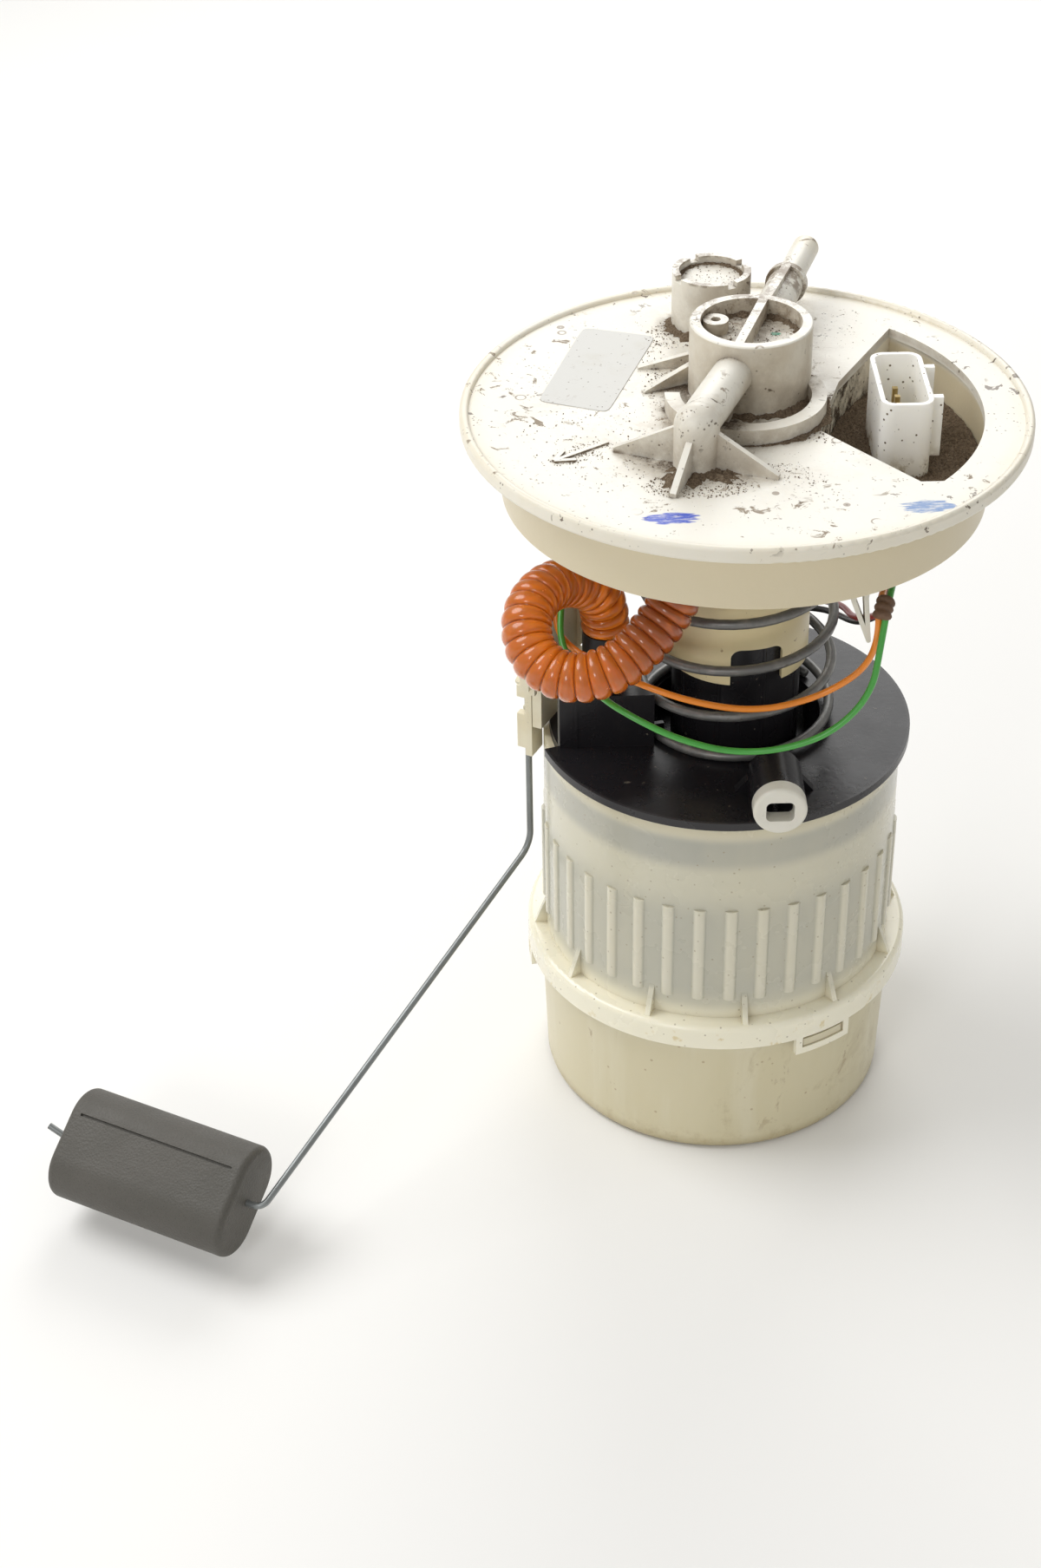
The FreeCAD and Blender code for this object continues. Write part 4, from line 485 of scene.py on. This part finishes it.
def makeHoseAmber():  # clear amber near the flange end, duller and browner towards the lid
    f = Finish("hoseAmber", (0.90, 0.235, 0.012), 0.18,
               {"Transmission Weight": 0.50, "IOR": 1.40, "Specular IOR Level": 0.6,
                "Coat Weight": 0.6, "Coat Roughness": 0.08,
                "Subsurface Weight": 0.2, "Subsurface Radius": (1.0, 0.3, 0.1), "Subsurface Scale": 0.004})
    ridge = f.add("ShaderNodeAttribute", {"attribute_name": "ridge"}).outputs["Fac"]
    along = f.add("ShaderNodeAttribute", {"attribute_name": "along"}).outputs["Fac"]
    f.tint(f.step(along, 0.42, 0.22, 0.0, 0.75), (0.42, 0.085, 0.018))
    f.tint(f.step(f.noise(70.0, 4.0), 0.45, 0.75, 0.0, 0.5), (0.62, 0.145, 0.012))
    # painted shade in the valleys between the ribs
    f.tint(f.step(ridge, 0.55, 0.0, 0.0, 0.92), (0.120, 0.014, 0.003))
    # painted highlight on the crests of the ribs, strongest over the first third of the hose
    crestHighlight = f.both(f.step(ridge, 0.92, 1.0, 0.0, 0.18), f.step(along, 0.70, 0.35, 0.2, 1.0))
    f.tint(crestHighlight, (0.60, 0.32, 0.20))
    f.vary("Roughness", f.noise(160.0, 4.0), 0.12, 0.34)
    f.relief(f.noise(700.0, 3.0), 0.00005)
    return f.done()


def makeWire(name, colour):
    f = Finish(name, colour, 0.32, {"Coat Weight": 0.25, "Coat Roughness": 0.25})
    f.tint(f.step(f.noise(120.0, 4.0), 0.4, 0.75, 0.0, 0.35), tuple(c * 0.7 for c in colour))
    f.relief(f.noise(900.0, 2.0), 0.00003)
    return f.done()


def makeDust():
    f = Finish("roadDust", dirt["grey"], 0.95, {"Specular IOR Level": 0.15})
    f.tint(f.step(f.noise(1300.0, 5.0, 0.8), 0.42, 0.60, 0.0, 0.9), dirt["brown"])
    pale = f.both(f.step(f.noise(1900.0, 3.0), 0.58, 0.66), f.step(f.noise(160.0, 3.0), 0.35, 0.6))
    f.tint(pale, dirt["pale"])
    f.relief(f.noise(1400.0, 5.0, 0.8), 0.0006)
    return f.done()


def makePaper():
    f = Finish("labelPaper", (0.635, 0.63, 0.60), 0.50, {"Specular IOR Level": 0.35})
    f.tint(f.step(f.noise(60.0, 6.0, 0.7), 0.52, 0.74, 0.0, 0.5), (0.56, 0.535, 0.465))
    scuff = f.both(f.step(f.noise(170.0, 6.0, 0.75, warp=0.8), 0.60, 0.65),
                   f.step(f.noise(30.0, 2.0), 0.45, 0.62))
    f.tint(scuff, dirt["grey"], 0.75)
    f.tint(f.step(f.cells(420.0), 0.14, 0.08), dirt["brown"], 0.6)
    f.relief(f.noise(700.0, 3.0), 0.00004)
    return f.done()


finish = {
    "flange": makeFlangeIvory(),
    "pocket": makePocketIvory(),
    "socket": makeSocketWhite(),
    "sleeve": makeSleeveCream(),
    "housing": makeHousingMilk(),
    "cup": makeCupBeige(),
    "lid": makeLidBlack(),
    "foam": makeFloatFoam(),
    "spring": makeSpringGrey(),
    "hose": makeHoseAmber(),
    "dust": makeDust(),
    "label": makePaper(),
    "orange": makeWire("wireOrange", (0.90, 0.275, 0.022)),
    "green": makeWire("wireGreen", (0.060, 0.36, 0.050)),
    "red": makeWire("wireRed", (0.40, 0.022, 0.016)),
    "black": makeWire("wireBlack", (0.020, 0.020, 0.021)),
    "band": makePlain("wireBand", (0.16, 0.085, 0.045), 0.60, mottle=(0.05, 0.035, 0.025),
                      grain=900.0, depth=0.0002),
    "white": makePlain("mouldedWhite", (0.76, 0.735, 0.64), 0.38, milky, (0.68, 0.63, 0.50)),
    "cream": makePlain("senderCream", (0.76, 0.71, 0.55), 0.42, milky, (0.66, 0.58, 0.38)),
    "plug": makePlain("plugWhite", (0.72, 0.70, 0.62), 0.36, milky, (0.64, 0.61, 0.52)),
    "zinc": makePlain("zincWire", (0.25, 0.265, 0.265), 0.38, {"Metallic": 0.7}, (0.17, 0.175, 0.17), 900.0),
    "steel": makePlain("canSteel", (0.50, 0.50, 0.49), 0.30, {"Metallic": 1.0}, (0.38, 0.37, 0.35), 900.0),
    "core": makePlain("coreSteel", (0.22, 0.21, 0.20), 0.45, {"Metallic": 0.9}, (0.14, 0.12, 0.10), 900.0),
    "copper": makePlain("copper", (0.62, 0.28, 0.14), 0.32, {"Metallic": 1.0}, (0.40, 0.18, 0.09), 900.0),
    "brass": makePlain("brass", (0.66, 0.52, 0.26), 0.30, {"Metallic": 1.0}, (0.44, 0.34, 0.18), 900.0),
    "ferrite": makePlain("ferrite", (0.045, 0.044, 0.043), 0.75),
    "rubber": makePlain("sealRubber", (0.022, 0.022, 0.022), 0.68),
    "darkPlastic": makePlain("pumpPlastic", (0.045, 0.045, 0.048), 0.42),
    "paper": makePlain("filterPaper", (0.62, 0.52, 0.33), 0.85, mottle=(0.50, 0.40, 0.24)),
    "mesh": makePlain("strainerMesh", (0.76, 0.74, 0.66), 0.80, grain=1400.0, depth=0.0002),
    "ceramic": makePlain("cardCeramic", (0.70, 0.69, 0.65), 0.35),
}
nodeFinish = {
    "flange": ["flange_plate", "flange_skirt", "spring_cup", "port_cup", "riser_pipe", "outlet_pipe",
               "rear_cup", "cup_ridge", "rollover_valve_body"],
    "pocket": ["flange_pocket"],
    "socket": ["connector_housing"],
    "sleeve": ["guide_sleeve"],
    "housing": ["filter_housing", "filter_well"],
    "cup": ["reservoir_cup"],
    "lid": ["reservoir_lid", "lid_well", "guide_tower", "hose_block", "relief_elbow", "pump_plug"],
    "foam": ["float"],
    "spring": ["guide_spring", "check_valve_spring"],
    "white": ["harness_clip", "harness_plug", "jet_pump"],
    "cream": ["sender_housing", "wire_holder"],
    "plug": ["elbow_plug"],
    "zinc": ["float_wire"],
    "steel": ["pump_can", "regulator_cartridge", "regulator_clip"],
    "core": ["pump_armature"],
    "copper": ["pump_commutator"],
    "brass": ["connector_pins", "sender_terminals", "wiper_contact", "check_valve_poppet"],
    "ferrite": ["pump_magnets", "pump_brushes"],
    "rubber": ["lid_seal", "inlet_valve", "pump_isolator"],
    "darkPlastic": ["pump_inlet_cover", "pump_bearing_plate", "pump_outlet_cover", "pump_impeller",
                    "rollover_float"],
    "paper": ["filter_element"],
    "mesh": ["suction_strainer"],
    "ceramic": ["sender_card"],
    "hose": ["outlet_hose"],
    "orange": ["orange_wire"],
    "green": ["green_wire"],
    "red": ["red_wire"],
    "black": ["black_wire"],
}
for key, names in nodeFinish.items():
    for name in names:
        nodes[name].data.materials.clear()
        nodes[name].data.materials.append(finish[key])
print("stage: finishes on", sum(len(v) for v in nodeFinish.values()), "of", len(nodes), "nodes")


# Surfaces on grids

def gridPiece(name, grid, material, wrap=True, caps=True, smooth=True):
    # rows x columns x 3 points: a quad between neighbours, columns closed into rings if wrap,
    # and one even face on the first and the last ring if caps
    rows, columns = grid.shape[:2]
    index = np.arange(rows * columns).reshape(rows, columns)
    nextColumn = np.roll(index, -1, axis=1) if wrap else index[:, 1:]
    here = index if wrap else index[:, :-1]
    quads = np.stack([here[:-1], nextColumn[:-1], nextColumn[1:], here[1:]], axis=-1).reshape(-1, 4)
    loops = [quads.ravel()]
    sizes = [np.full(len(quads), 4)]
    if caps:
        loops += [index[0][::-1], index[-1]]
        sizes += [np.array([columns, columns])]
    return facePiece(name, grid.reshape(-1, 3), np.concatenate(loops), np.concatenate(sizes), material,
                     smooth)


def facePiece(name, points, loops, sizes, material, smooth):
    mesh = bpy.data.meshes.new(name)
    mesh.vertices.add(len(points))
    mesh.vertices.foreach_set("co", points.reshape(-1).astype(np.float32))
    mesh.loops.add(len(loops))
    mesh.loops.foreach_set("vertex_index", loops.astype(np.int32))
    mesh.polygons.add(len(sizes))
    mesh.polygons.foreach_set("loop_start", (np.cumsum(sizes) - sizes).astype(np.int32))
    mesh.polygons.foreach_set("use_smooth", np.full(len(sizes), smooth))
    mesh.update(calc_edges=True)
    mesh.validate()
    mesh.materials.append(material)
    piece = bpy.data.objects.new(name, mesh)
    bpy.context.scene.collection.objects.link(piece)
    return piece


def softLine(points, smoothness=16):
    # points read from the spline whose control points are the given ones, in metres
    data = bpy.data.curves.new("line", "CURVE")
    data.dimensions, data.resolution_u = "3D", smoothness
    spline = data.splines.new("NURBS")
    spline.points.add(len(points) - 1)
    spline.points.foreach_set("co", np.c_[np.array(points) / 1000, np.ones(len(points))].ravel())
    spline.order_u = 3
    spline.use_endpoint_u = True
    holder = bpy.data.objects.new("line", data)
    mesh = bpy.data.meshes.new_from_object(holder)
    line = np.array([v.co for v in mesh.vertices], float).reshape(-1, 3)
    bpy.data.objects.remove(holder)
    bpy.data.curves.remove(data)
    bpy.data.meshes.remove(mesh)
    return line


def measured(line):  # distance along the line at each point
    return np.r_[0, np.cumsum(np.linalg.norm(np.diff(line, axis=0), axis=1))]


def resampled(line, stations):  # points at the given distances along the line
    along = measured(line)
    return np.stack([np.interp(stations, along, line[:, k]) for k in range(3)], axis=1)


def sweptGrid(line, radius, sides):
    # rings of the given radius square to the line, turned as little as possible from ring to ring
    ahead = np.gradient(line, axis=0)
    ahead /= np.linalg.norm(ahead, axis=1)[:, None]
    side = np.empty_like(line)
    first = np.cross(ahead[0], [0.3, 0.2, 1.0] if abs(ahead[0][2]) < 0.9 else [1.0, 0, 0])
    side[0] = first / np.linalg.norm(first)
    for i in range(1, len(line)):  # one step per ring
        moved = side[i - 1] - ahead[i] * (side[i - 1] @ ahead[i])
        side[i] = moved / np.linalg.norm(moved)
    other = np.cross(ahead, side)
    angle = np.linspace(0, 2 * np.pi, sides, endpoint=False)
    ring = side[:, None] * np.cos(angle)[None, :, None] + other[:, None] * np.sin(angle)[None, :, None]
    return line[:, None] + ring * np.asarray(radius).reshape(-1, 1, 1)


# Ribbed outlet hose

hose = {  # mm, start and end in metres
    "route": [(-11.84, -29.68, 212), (-11.84, -29.68, 200), (-17.7, -33, 186), (-26.3, -40, 178),
              (-36.1, -45, 172.3), (-48.1, -44, 170.2), (-57.1, -38, 174), (-58.8, -29, 181.2),
              (-53.4, -18, 184), (-44.1, -7, 179.9), (-35, -2, 171.5), (-35, -2, 160)],
    "crest": 7.2, "valley": 5.7, "ribs": 36, "samples": 9, "sides": 48, "roundness": 0.8,
    "start": (-0.035, -0.002, 0.17), "end": (-0.01184, -0.02968, 0.17),
}


def makeHose(values):
    # radius = valley + (crest - valley) * sin(phase)^roundness, with phase from 0 to pi over each rib
    line = softLine(values["route"])
    length = measured(line)[-1]
    phase = np.linspace(0, np.pi, values["samples"], endpoint=False)
    within = (1 - np.cos(phase)) / 2
    stations = (np.arange(values["ribs"])[:, None] + within[None]).ravel() / values["ribs"]
    stations = np.r_[stations, 1.0]
    rise = np.r_[np.tile(np.sin(phase) ** values["roundness"], values["ribs"]), 0.0]
    radius = (values["valley"] + (values["crest"] - values["valley"]) * rise) / 1000
    grid = sweptGrid(resampled(line, stations * length), radius, values["sides"])
    piece = gridPiece("outletHose", grid, finish["hose"])
    for name, numbers in (("ridge", rise), ("along", stations)):
        attribute = piece.data.attributes.new(name, "FLOAT", "POINT")
        attribute.data.foreach_set("value", np.repeat(numbers, values["sides"]).astype(np.float32))
    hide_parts("outlet_hose")
    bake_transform(piece)
    print("hose length", round(length * 1000, 1))


# Leads

leads = {
    "green": dict(route=[
        (47, -7.5, 198), (47, -7.5, 192.5), (46, -21, 190), (41, -41.5, 194), (38.9, -46, 181),
        (36.7, -50, 167.2), (26.3, -52, 155.8), (12.1, -52, 150.3), (-2.3, -50, 148.6), (-16.9, -50, 153.6),
        (-27.7, -48, 158.8), (-37, -41.5, 161.5), (-42, -31, 161.8), (-45.8, -20, 160.5),
        (-48.4, -13.1, 163.8), (-48, -5.8, 169), (-46.6, 2, 175.2), (-42.8, 8.4, 176), (-45.9, 10, 176)],
        start=(-0.040, 0, 0.17), end=(0.038, 0, 0.17)),
    "orange": dict(route=[
        (47, -2.5, 198), (47, -2.5, 190), (43.2, -19, 189.5), (41, -31, 189.8), (38.2, -41.5, 190.6),
        (38.3, -44.1, 182.5), (37, -40.5, 172), (32.5, -36.5, 163.2), (21.5, -36.5, 156.6), (5.7, -39, 154.8),
        (-11.5, -40, 158.8), (-27.2, -36, 163), (-35.5, -26, 162), (-42.5, -16, 160), (-49, -9.6, 163),
        (-49.6, -2.1, 168), (-45.6, 4.3, 173), (-48.2, 5.6, 173)],
        start=(-0.040, 0, 0.17), end=(0.038, 0, 0.17)),
    "red": dict(route=[
        (47, 2.5, 198), (47, 2.5, 190), (46.4, -8, 187), (45.2, -19, 186.5), (43.5, -26, 187.2),
        (42, -33.5, 186.5), (41.3, -29.5, 180.5), (39.3, -16, 170.8), (36.9, -4, 163.3), (35.6, 8, 160),
        (32.6, 20.3, 154), (23, 32, 149), (14.5, 38, 148.5), (14.5, 38, 140)],
        start=(0.016, 0, 0.17), end=(0.040, 0, 0.17)),
    "black": dict(route=[
        (47, 7.5, 198), (47, 7.5, 190), (46.6, -6, 184.5), (45.6, -17, 183.2), (43.2, -28, 183.6),
        (42.9, -25.5, 178.4), (42.2, -20, 174.2), (40.1, -10, 166), (37.8, -1, 159.8), (34.2, 13, 154.2),
        (31, 21, 151), (20, 31.5, 145.8), (9.5, 38, 147.5), (9.5, 38, 140)],
        start=(0.016, 0, 0.17), end=(0.040, 0, 0.17)),
}
leadSize = {"diameter": 1.9, "sides": 16, "smoothness": 10}  # diameter in mm


def makeLead(colour, values):
    # a round tube: rings of one radius along the soft line of the route
    line = softLine(values["route"], leadSize["smoothness"])
    radius = np.full(len(line), leadSize["diameter"] / 2000)
    piece = gridPiece(colour + "Lead", sweptGrid(line, radius, leadSize["sides"]), finish[colour])
    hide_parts(colour + "_wire")
    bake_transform(piece)


# Guide spring

# mm, the start in degrees, the dead turns in turns, and steps for each turn
spring = {"radius": 28.0, "wire": 3.0, "low": 128.0, "high": 210.7, "pitch": 15.65, "start": -66.0,
          "dead": 0.72, "steps": 44, "sides": 20, "ease": 9, "tip": 0.86, "keep": 53 / 83}


def makeSpring(values):
    # helix about the guide axis: level for the dead turns at both ends, an even rise between
    span = values["high"] - values["low"] - values["wire"]
    turns = span / values["pitch"]
    total = turns + 2 * values["dead"]
    turn = np.linspace(0, total, int(total * values["steps"]))
    ramp = np.clip((turn - values["dead"]) / turns, 0, 1)
    window = 2 * values["ease"] + 1
    ramp = np.convolve(np.pad(ramp, values["ease"], mode="edge"), np.ones(window) / window, mode="valid")
    angle = math.radians(values["start"]) + 2 * np.pi * (turn - values["dead"])
    height = values["low"] + values["wire"] / 2 + span * ramp
    line = np.stack([guideAxis[0] + values["radius"] / 1000 * np.cos(angle),
                     guideAxis[1] + values["radius"] / 1000 * np.sin(angle), height / 1000], axis=1)
    radius = np.full(len(line), values["wire"] / 2000)
    radius[[0, -1]] *= values["tip"]
    piece = gridPiece("guideSpring", sweptGrid(line, radius, values["sides"]), finish["spring"])
    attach(piece, "reservoir")
    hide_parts("guide_spring")
    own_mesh(piece)


# Paper label, left bare

label = {"corners": [(-57.5, 6.2), (-38.3, -1.4), (-22.6, 45.0), (-43.4, 51.7)], "top": 229.0, "thick": 0.18,
         "foot": 0.01, "edge": 0.8, "shrink": 0.994, "power": 16, "points": 96}


def makeLabel(values):
    # |u|^n + |v|^n = 1 over the four-cornered plane, as three rings: foot, edge and a slightly smaller top
    angle = np.linspace(0, 2 * np.pi, values["points"], endpoint=False)
    u, v = (np.sign(f(angle)) * np.abs(f(angle)) ** (2 / values["power"]) for f in (np.cos, np.sin))
    a, b, c, d = (np.array(corner) for corner in values["corners"])
    s, t = (u[:, None] + 1) / 2, (v[:, None] + 1) / 2
    outline = (1 - t) * ((1 - s) * a + s * b) + t * ((1 - s) * d + s * c)
    middle = outline.mean(axis=0)
    heights = np.array([values["foot"], values["thick"] * values["edge"], values["thick"]]) + values["top"]
    shrink = np.array([1.0, 1.0, values["shrink"]])
    flat = middle + (outline[None] - middle) * shrink[:, None, None]
    grid = np.dstack([flat, np.broadcast_to(heights[:, None], flat.shape[:2])]) / 1000
    grid[:, :, :2] += guideAxis
    piece = gridPiece("paperLabel", grid, finish["label"], smooth=False)
    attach(piece, "flange")


# Band round the leads at the hook

band = {"route": [(38.6, -45.2, 188.6), (39.3, -43.2, 191.0), (40.4, -40.6, 192.0)], "radius": 2.7,
        "sides": 24, "smoothness": 12, "swells": 3, "swell": 0.20, "tip": 0.8}


def makeBand(values):
    # a short tube with soft swells: radius * (1 - swell + swell * |sin|)
    line = softLine(values["route"], values["smoothness"])
    waves = np.abs(np.sin(values["swells"] * np.pi * np.linspace(0, 1, len(line))))
    radius = values["radius"] / 1000 * (1 - values["swell"] + values["swell"] * waves)
    radius[[0, -1]] *= values["tip"]
    piece = gridPiece("leadBand", sweptGrid(line, radius, values["sides"]), finish["band"])
    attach(piece, "flange")


# Dust that has settled on the flange

# mm: centres from the guide axis, and the heights of the plate and of the cups' floors
portCentre, rearCentre, postCentre = (2.0, 11.3), (-6.0, 53.5), (-15.84, -32.18)
plateTop, portFloor, rearFloor = 229.0, 245.0, 243.5
dust = {
    "seed": 11,
    # banks against a round wall: centre, wall radius, first and last angle, width, height, floor, all in mm
    "banks": {
        "portCup": (*portCentre, 17.2, -150, 78, 4.6, 1.7, plateTop),
        "portCupInside": (*portCentre, -14.1, -20, 340, 2.6, 1.1, portFloor),
        "rearCup": (*rearCentre, 11.5, 150, 330, 4.0, 1.7, plateTop),
        "rearCupInside": (*rearCentre, -9.4, -20, 340, 1.3, 0.7, rearFloor),
        "ridge": (0.0, 0.0, 22.6, -95, 28, 2.4, 0.8, plateTop),
        "post": (*postCentre, 6.0, -170, 60, 6.4, 1.4, plateTop),
        "finRight": (*postCentre, 9.0, -62, -18, 6.5, 1.4, plateTop),
        "finLeft": (*postCentre, 9.0, -150, -84, 7.0, 1.3, plateTop),
    },
    "bank": {"columns": 15, "step": 0.35, "least": 12, "rough": 0.42, "steep": 1.6, "sunk": 0.15,
             "window": 9},
    # grains: centre in mm, half spread, turn in degrees, how many, size from and to, floor
    "grains": [
        (0.0, 0.0, 66, 66, 0, 620, 0.12, 0.34, plateTop),
        (-40.0, -22.0, 22, 26, 30, 160, 0.15, 0.50, plateTop),
        (-46.5, -24.5, 11, 4.5, 33, 150, 0.15, 0.50, plateTop),
        (-16.0, -44.0, 15, 7, 0, 420, 0.18, 0.55, plateTop),
        (18.0, -4.0, 8, 20, 15, 300, 0.18, 0.60, plateTop),
        (8.0, -38.0, 12, 5, -20, 140, 0.15, 0.50, plateTop),
        (-23.0, 18.0, 5, 22, 5, 190, 0.18, 0.60, plateTop),
        (-18.0, 45.0, 8, 8, 0, 170, 0.18, 0.60, plateTop),
        (23.5, 2.0, 2.2, 17, -31, 220, 0.18, 0.60, plateTop),
        (*portCentre, 13, 13, 0, 330, 0.15, 0.55, portFloor),
        (*rearCentre, 8, 8, 0, 90, 0.15, 0.45, rearFloor),
        (46.0, 2.0, 24, 40, 0, 900, 0.22, 0.80, 214.9),
    ],
    # where grains may lie: how far inside a cup, outside it, and off the pocket's walls, in mm
    "room": {"portInside": 13.4, "portOutside": 17.5, "rearInside": 8.6, "rearOutside": 11.8,
             "pocketInside": 0.4, "pocketOutside": -0.2},
    "pocket": {"centre": (45.0, 0.0), "floor": 214.0, "rise": 0.7, "drift": 3.2, "reach": 5.0,
               "rough": 1.3, "least": 0.15, "sunk": 0.1, "gap": 0.12, "rightEdge": 44, "fade": 24,
               "rings": 70, "rays": 260},
}
pocketWalls = [((47.5, 50.0), (27.5, 14.0)), ((27.5, 14.0), (19.0, -14.0)), ((19.0, -14.0), (43.0, -44.0))]
pocketRound = 66.0


def wallNormal(start, end):  # the unit vector that points into the pocket from the wall start-end
    along = np.array(end) - np.array(start)
    return np.array([-along[1], along[0]]) / np.hypot(*along)


def insidePocket(x, y, margin):
    depth = [(x - start[0]) * n[0] + (y - start[1]) * n[1]
             for start, n in ((start, wallNormal(start, end)) for start, end in pocketWalls)]
    return (np.min(depth, axis=0) > margin) & (np.hypot(x, y) < pocketRound - margin)


def makeBank(name, values, random):
    # a triangle leaning on a round wall, swept round it: width and height swell as sin of the way round,
    # and every point of the slope moves up and down by noise
    x, y, radius, first, last, wide, high, floor = values
    bank = dust["bank"]
    rows = max(int(abs(last - first) / 360 * 2 * np.pi * abs(radius) / bank["step"]), bank["least"])
    across = bank["columns"] - 2
    around = np.radians(np.linspace(first, last, rows))[:, None]
    window = bank["window"]
    lumps = np.convolve(random.random(rows + window - 1), np.ones(window) / window, mode="valid")[:, None]
    full = abs(last - first) >= 359
    ends = 1.0 if full else np.sin(np.linspace(0.02, np.pi - 0.02, rows))[:, None] ** 0.45
    waves = 0.75 + 0.35 * np.sin(around * 7 + lumps * 9) * np.cos(around * 17)
    swell = ends * (0.1 + 1.6 * lumps) * waves
    out = np.linspace(0, 1, across)[None]
    slope = (1 - out) ** bank["steep"]
    rough = (random.random((rows, across)) - 0.5) * bank["rough"] * np.sin(np.pi * np.clip(out + 0.15, 0, 1))
    reach = out * wide * swell
    height = np.maximum(slope * high * swell + rough, 0.02)
    reach = np.hstack([reach, reach[:, -1:], reach[:, :1]])
    height = np.hstack([height, np.full((rows, 2), -bank["sunk"])])
    distance = abs(radius) + np.sign(radius) * reach
    grid = np.stack([x + distance * np.cos(around), y + distance * np.sin(around), floor + height], axis=-1)
    grid /= 1000
    grid[:, :, :2] += guideAxis
    if radius > 0:
        grid = grid[:, ::-1]
    piece = gridPiece("dust" + name[0].upper() + name[1:], grid, finish["dust"])
    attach(piece, "flange")


def makePocketDust(values, random):
    # rays from the centre to the wall: height = rise + drift * exp(-distance to wall / reach) + noise
    centre = np.array(values["centre"])
    angle = np.linspace(0, 2 * np.pi, values["rays"], endpoint=False)
    way = np.stack([np.cos(angle), np.sin(angle)], axis=1)
    b = way @ centre
    far = -b + np.sqrt(b ** 2 - centre @ centre + pocketRound ** 2)
    for start, end in pocketWalls:
        normal = wallNormal(start, end)
        ahead = way @ normal
        hit = ((np.array(start) - centre) @ normal) / np.where(np.abs(ahead) < 1e-9, 1e-9, ahead)
        far = np.where(hit > 0, np.minimum(far, hit), far)
    far = far - values["gap"]
    part = np.linspace(0.02, 1, values["rings"])[:, None]
    flat = centre + way[None] * (part * far[None])[..., None]
    toWall = (1 - part) * far[None]
    leftness = np.clip((values["rightEdge"] - flat[..., 0]) / values["fade"], 0.12, 1)
    noise = random.random(toWall.shape)
    noise = (noise + np.roll(noise, 1, 0) + np.roll(noise, 1, 1)) / 3
    height = values["rise"] + values["drift"] * leftness * np.exp(-toWall / values["reach"])
    height = np.maximum(height + (noise - 0.5) * values["rough"], values["least"])
    upper = np.dstack([flat, values["floor"] + height])
    lower = np.dstack([flat, np.full(toWall.shape, values["floor"] - values["sunk"])])
    grid = np.concatenate([lower, upper[::-1]]) / 1000
    grid[..., :2] += guideAxis
    piece = gridPiece("dustPocket", grid, finish["dust"])
    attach(piece, "flange")


def makeGrains(values):
    # eight-sided crumbs: six corners on turned axes of uneven length, scattered in turned ellipses
    random = np.random.default_rng(values["seed"])
    room = values["room"]
    spots = []
    for x, y, wide, tall, turn, count, small, large, floor in values["grains"]:
        way, far = random.random(count) * 2 * np.pi, np.sqrt(random.random(count))
        a, b = wide * far * np.cos(way), tall * far * np.sin(way)
        c, s = math.cos(math.radians(turn)), math.sin(math.radians(turn))
        size = small + (large - small) * random.random(count) ** 2.2
        place = np.stack([x + a * c - b * s, y + a * s + b * c, floor + size * 0.25, size], axis=1)
        toPort = np.hypot(place[:, 0] - portCentre[0], place[:, 1] - portCentre[1])
        toRear = np.hypot(place[:, 0] - rearCentre[0], place[:, 1] - rearCentre[1])
        if floor == portFloor:
            keep = toPort < room["portInside"]
        elif floor == rearFloor:
            keep = toRear < room["rearInside"]
        elif floor == plateTop:
            keep = (toPort > room["portOutside"]) & (toRear > room["rearOutside"])
            keep &= ~insidePocket(place[:, 0], place[:, 1], room["pocketOutside"])
        else:
            keep = insidePocket(place[:, 0], place[:, 1], room["pocketInside"])
        spots.append(place[keep])
    spots = np.concatenate(spots)
    count = len(spots)
    axes = np.linalg.qr(random.normal(size=(count, 3, 3)))[0]
    axes *= np.sign(np.linalg.det(axes))[:, None, None]
    lengths = spots[:, 3, None] / 2 * (0.6 + 0.8 * random.random((count, 6)))
    corners = np.concatenate([axes, -axes], axis=1) * lengths[..., None]
    points = (spots[:, None, :3] + corners) / 1000
    points[..., :2] += guideAxis
    octant = np.array([(0, 1, 2), (1, 3, 2), (3, 4, 2), (4, 0, 2),
                       (1, 0, 5), (3, 1, 5), (4, 3, 5), (0, 4, 5)])
    faces = (np.arange(count)[:, None, None] * 6 + octant[None]).reshape(-1)
    sizes = np.full(len(faces) // 3, 3)
    piece = facePiece("dustGrains", points.reshape(-1, 3), faces, sizes, finish["dust"], False)
    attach(piece, "flange")
    print("dust grains", count)


# Floor

floor = {"half": 3.0, "points": 9, "colour": (0.90, 0.895, 0.88)}


def makeFloor(values):
    # a flat square grid at height 0
    side = np.linspace(-values["half"], values["half"], values["points"])
    grid = np.stack(np.meshgrid(side, side, [0.0], indexing="xy"), axis=-1)[:, :, 0]
    f = Finish("floorWhite", values["colour"], 0.75, {"Specular IOR Level": 0.1})
    f.tint(f.step(f.noise(3.0, 2.0), 0.4, 0.7, 0.0, 0.3), tuple(c * 1.01 for c in values["colour"]))
    gridPiece("floor", grid, f.done(), wrap=False, caps=False)


makeHose(hose)
for leadColour, leadValues in leads.items():
    makeLead(leadColour, leadValues)
makeSpring(spring)
print("stage: hose, leads and spring")
makeLabel(label)
makeBand(band)
dustRandom = np.random.default_rng(dust["seed"])
for bankName, bankValues in dust["banks"].items():
    makeBank(bankName, bankValues, dustRandom)
makePocketDust(dust["pocket"], dustRandom)
makeGrains(dust)
print("stage: label, band and dust")
makeFloor(floor)
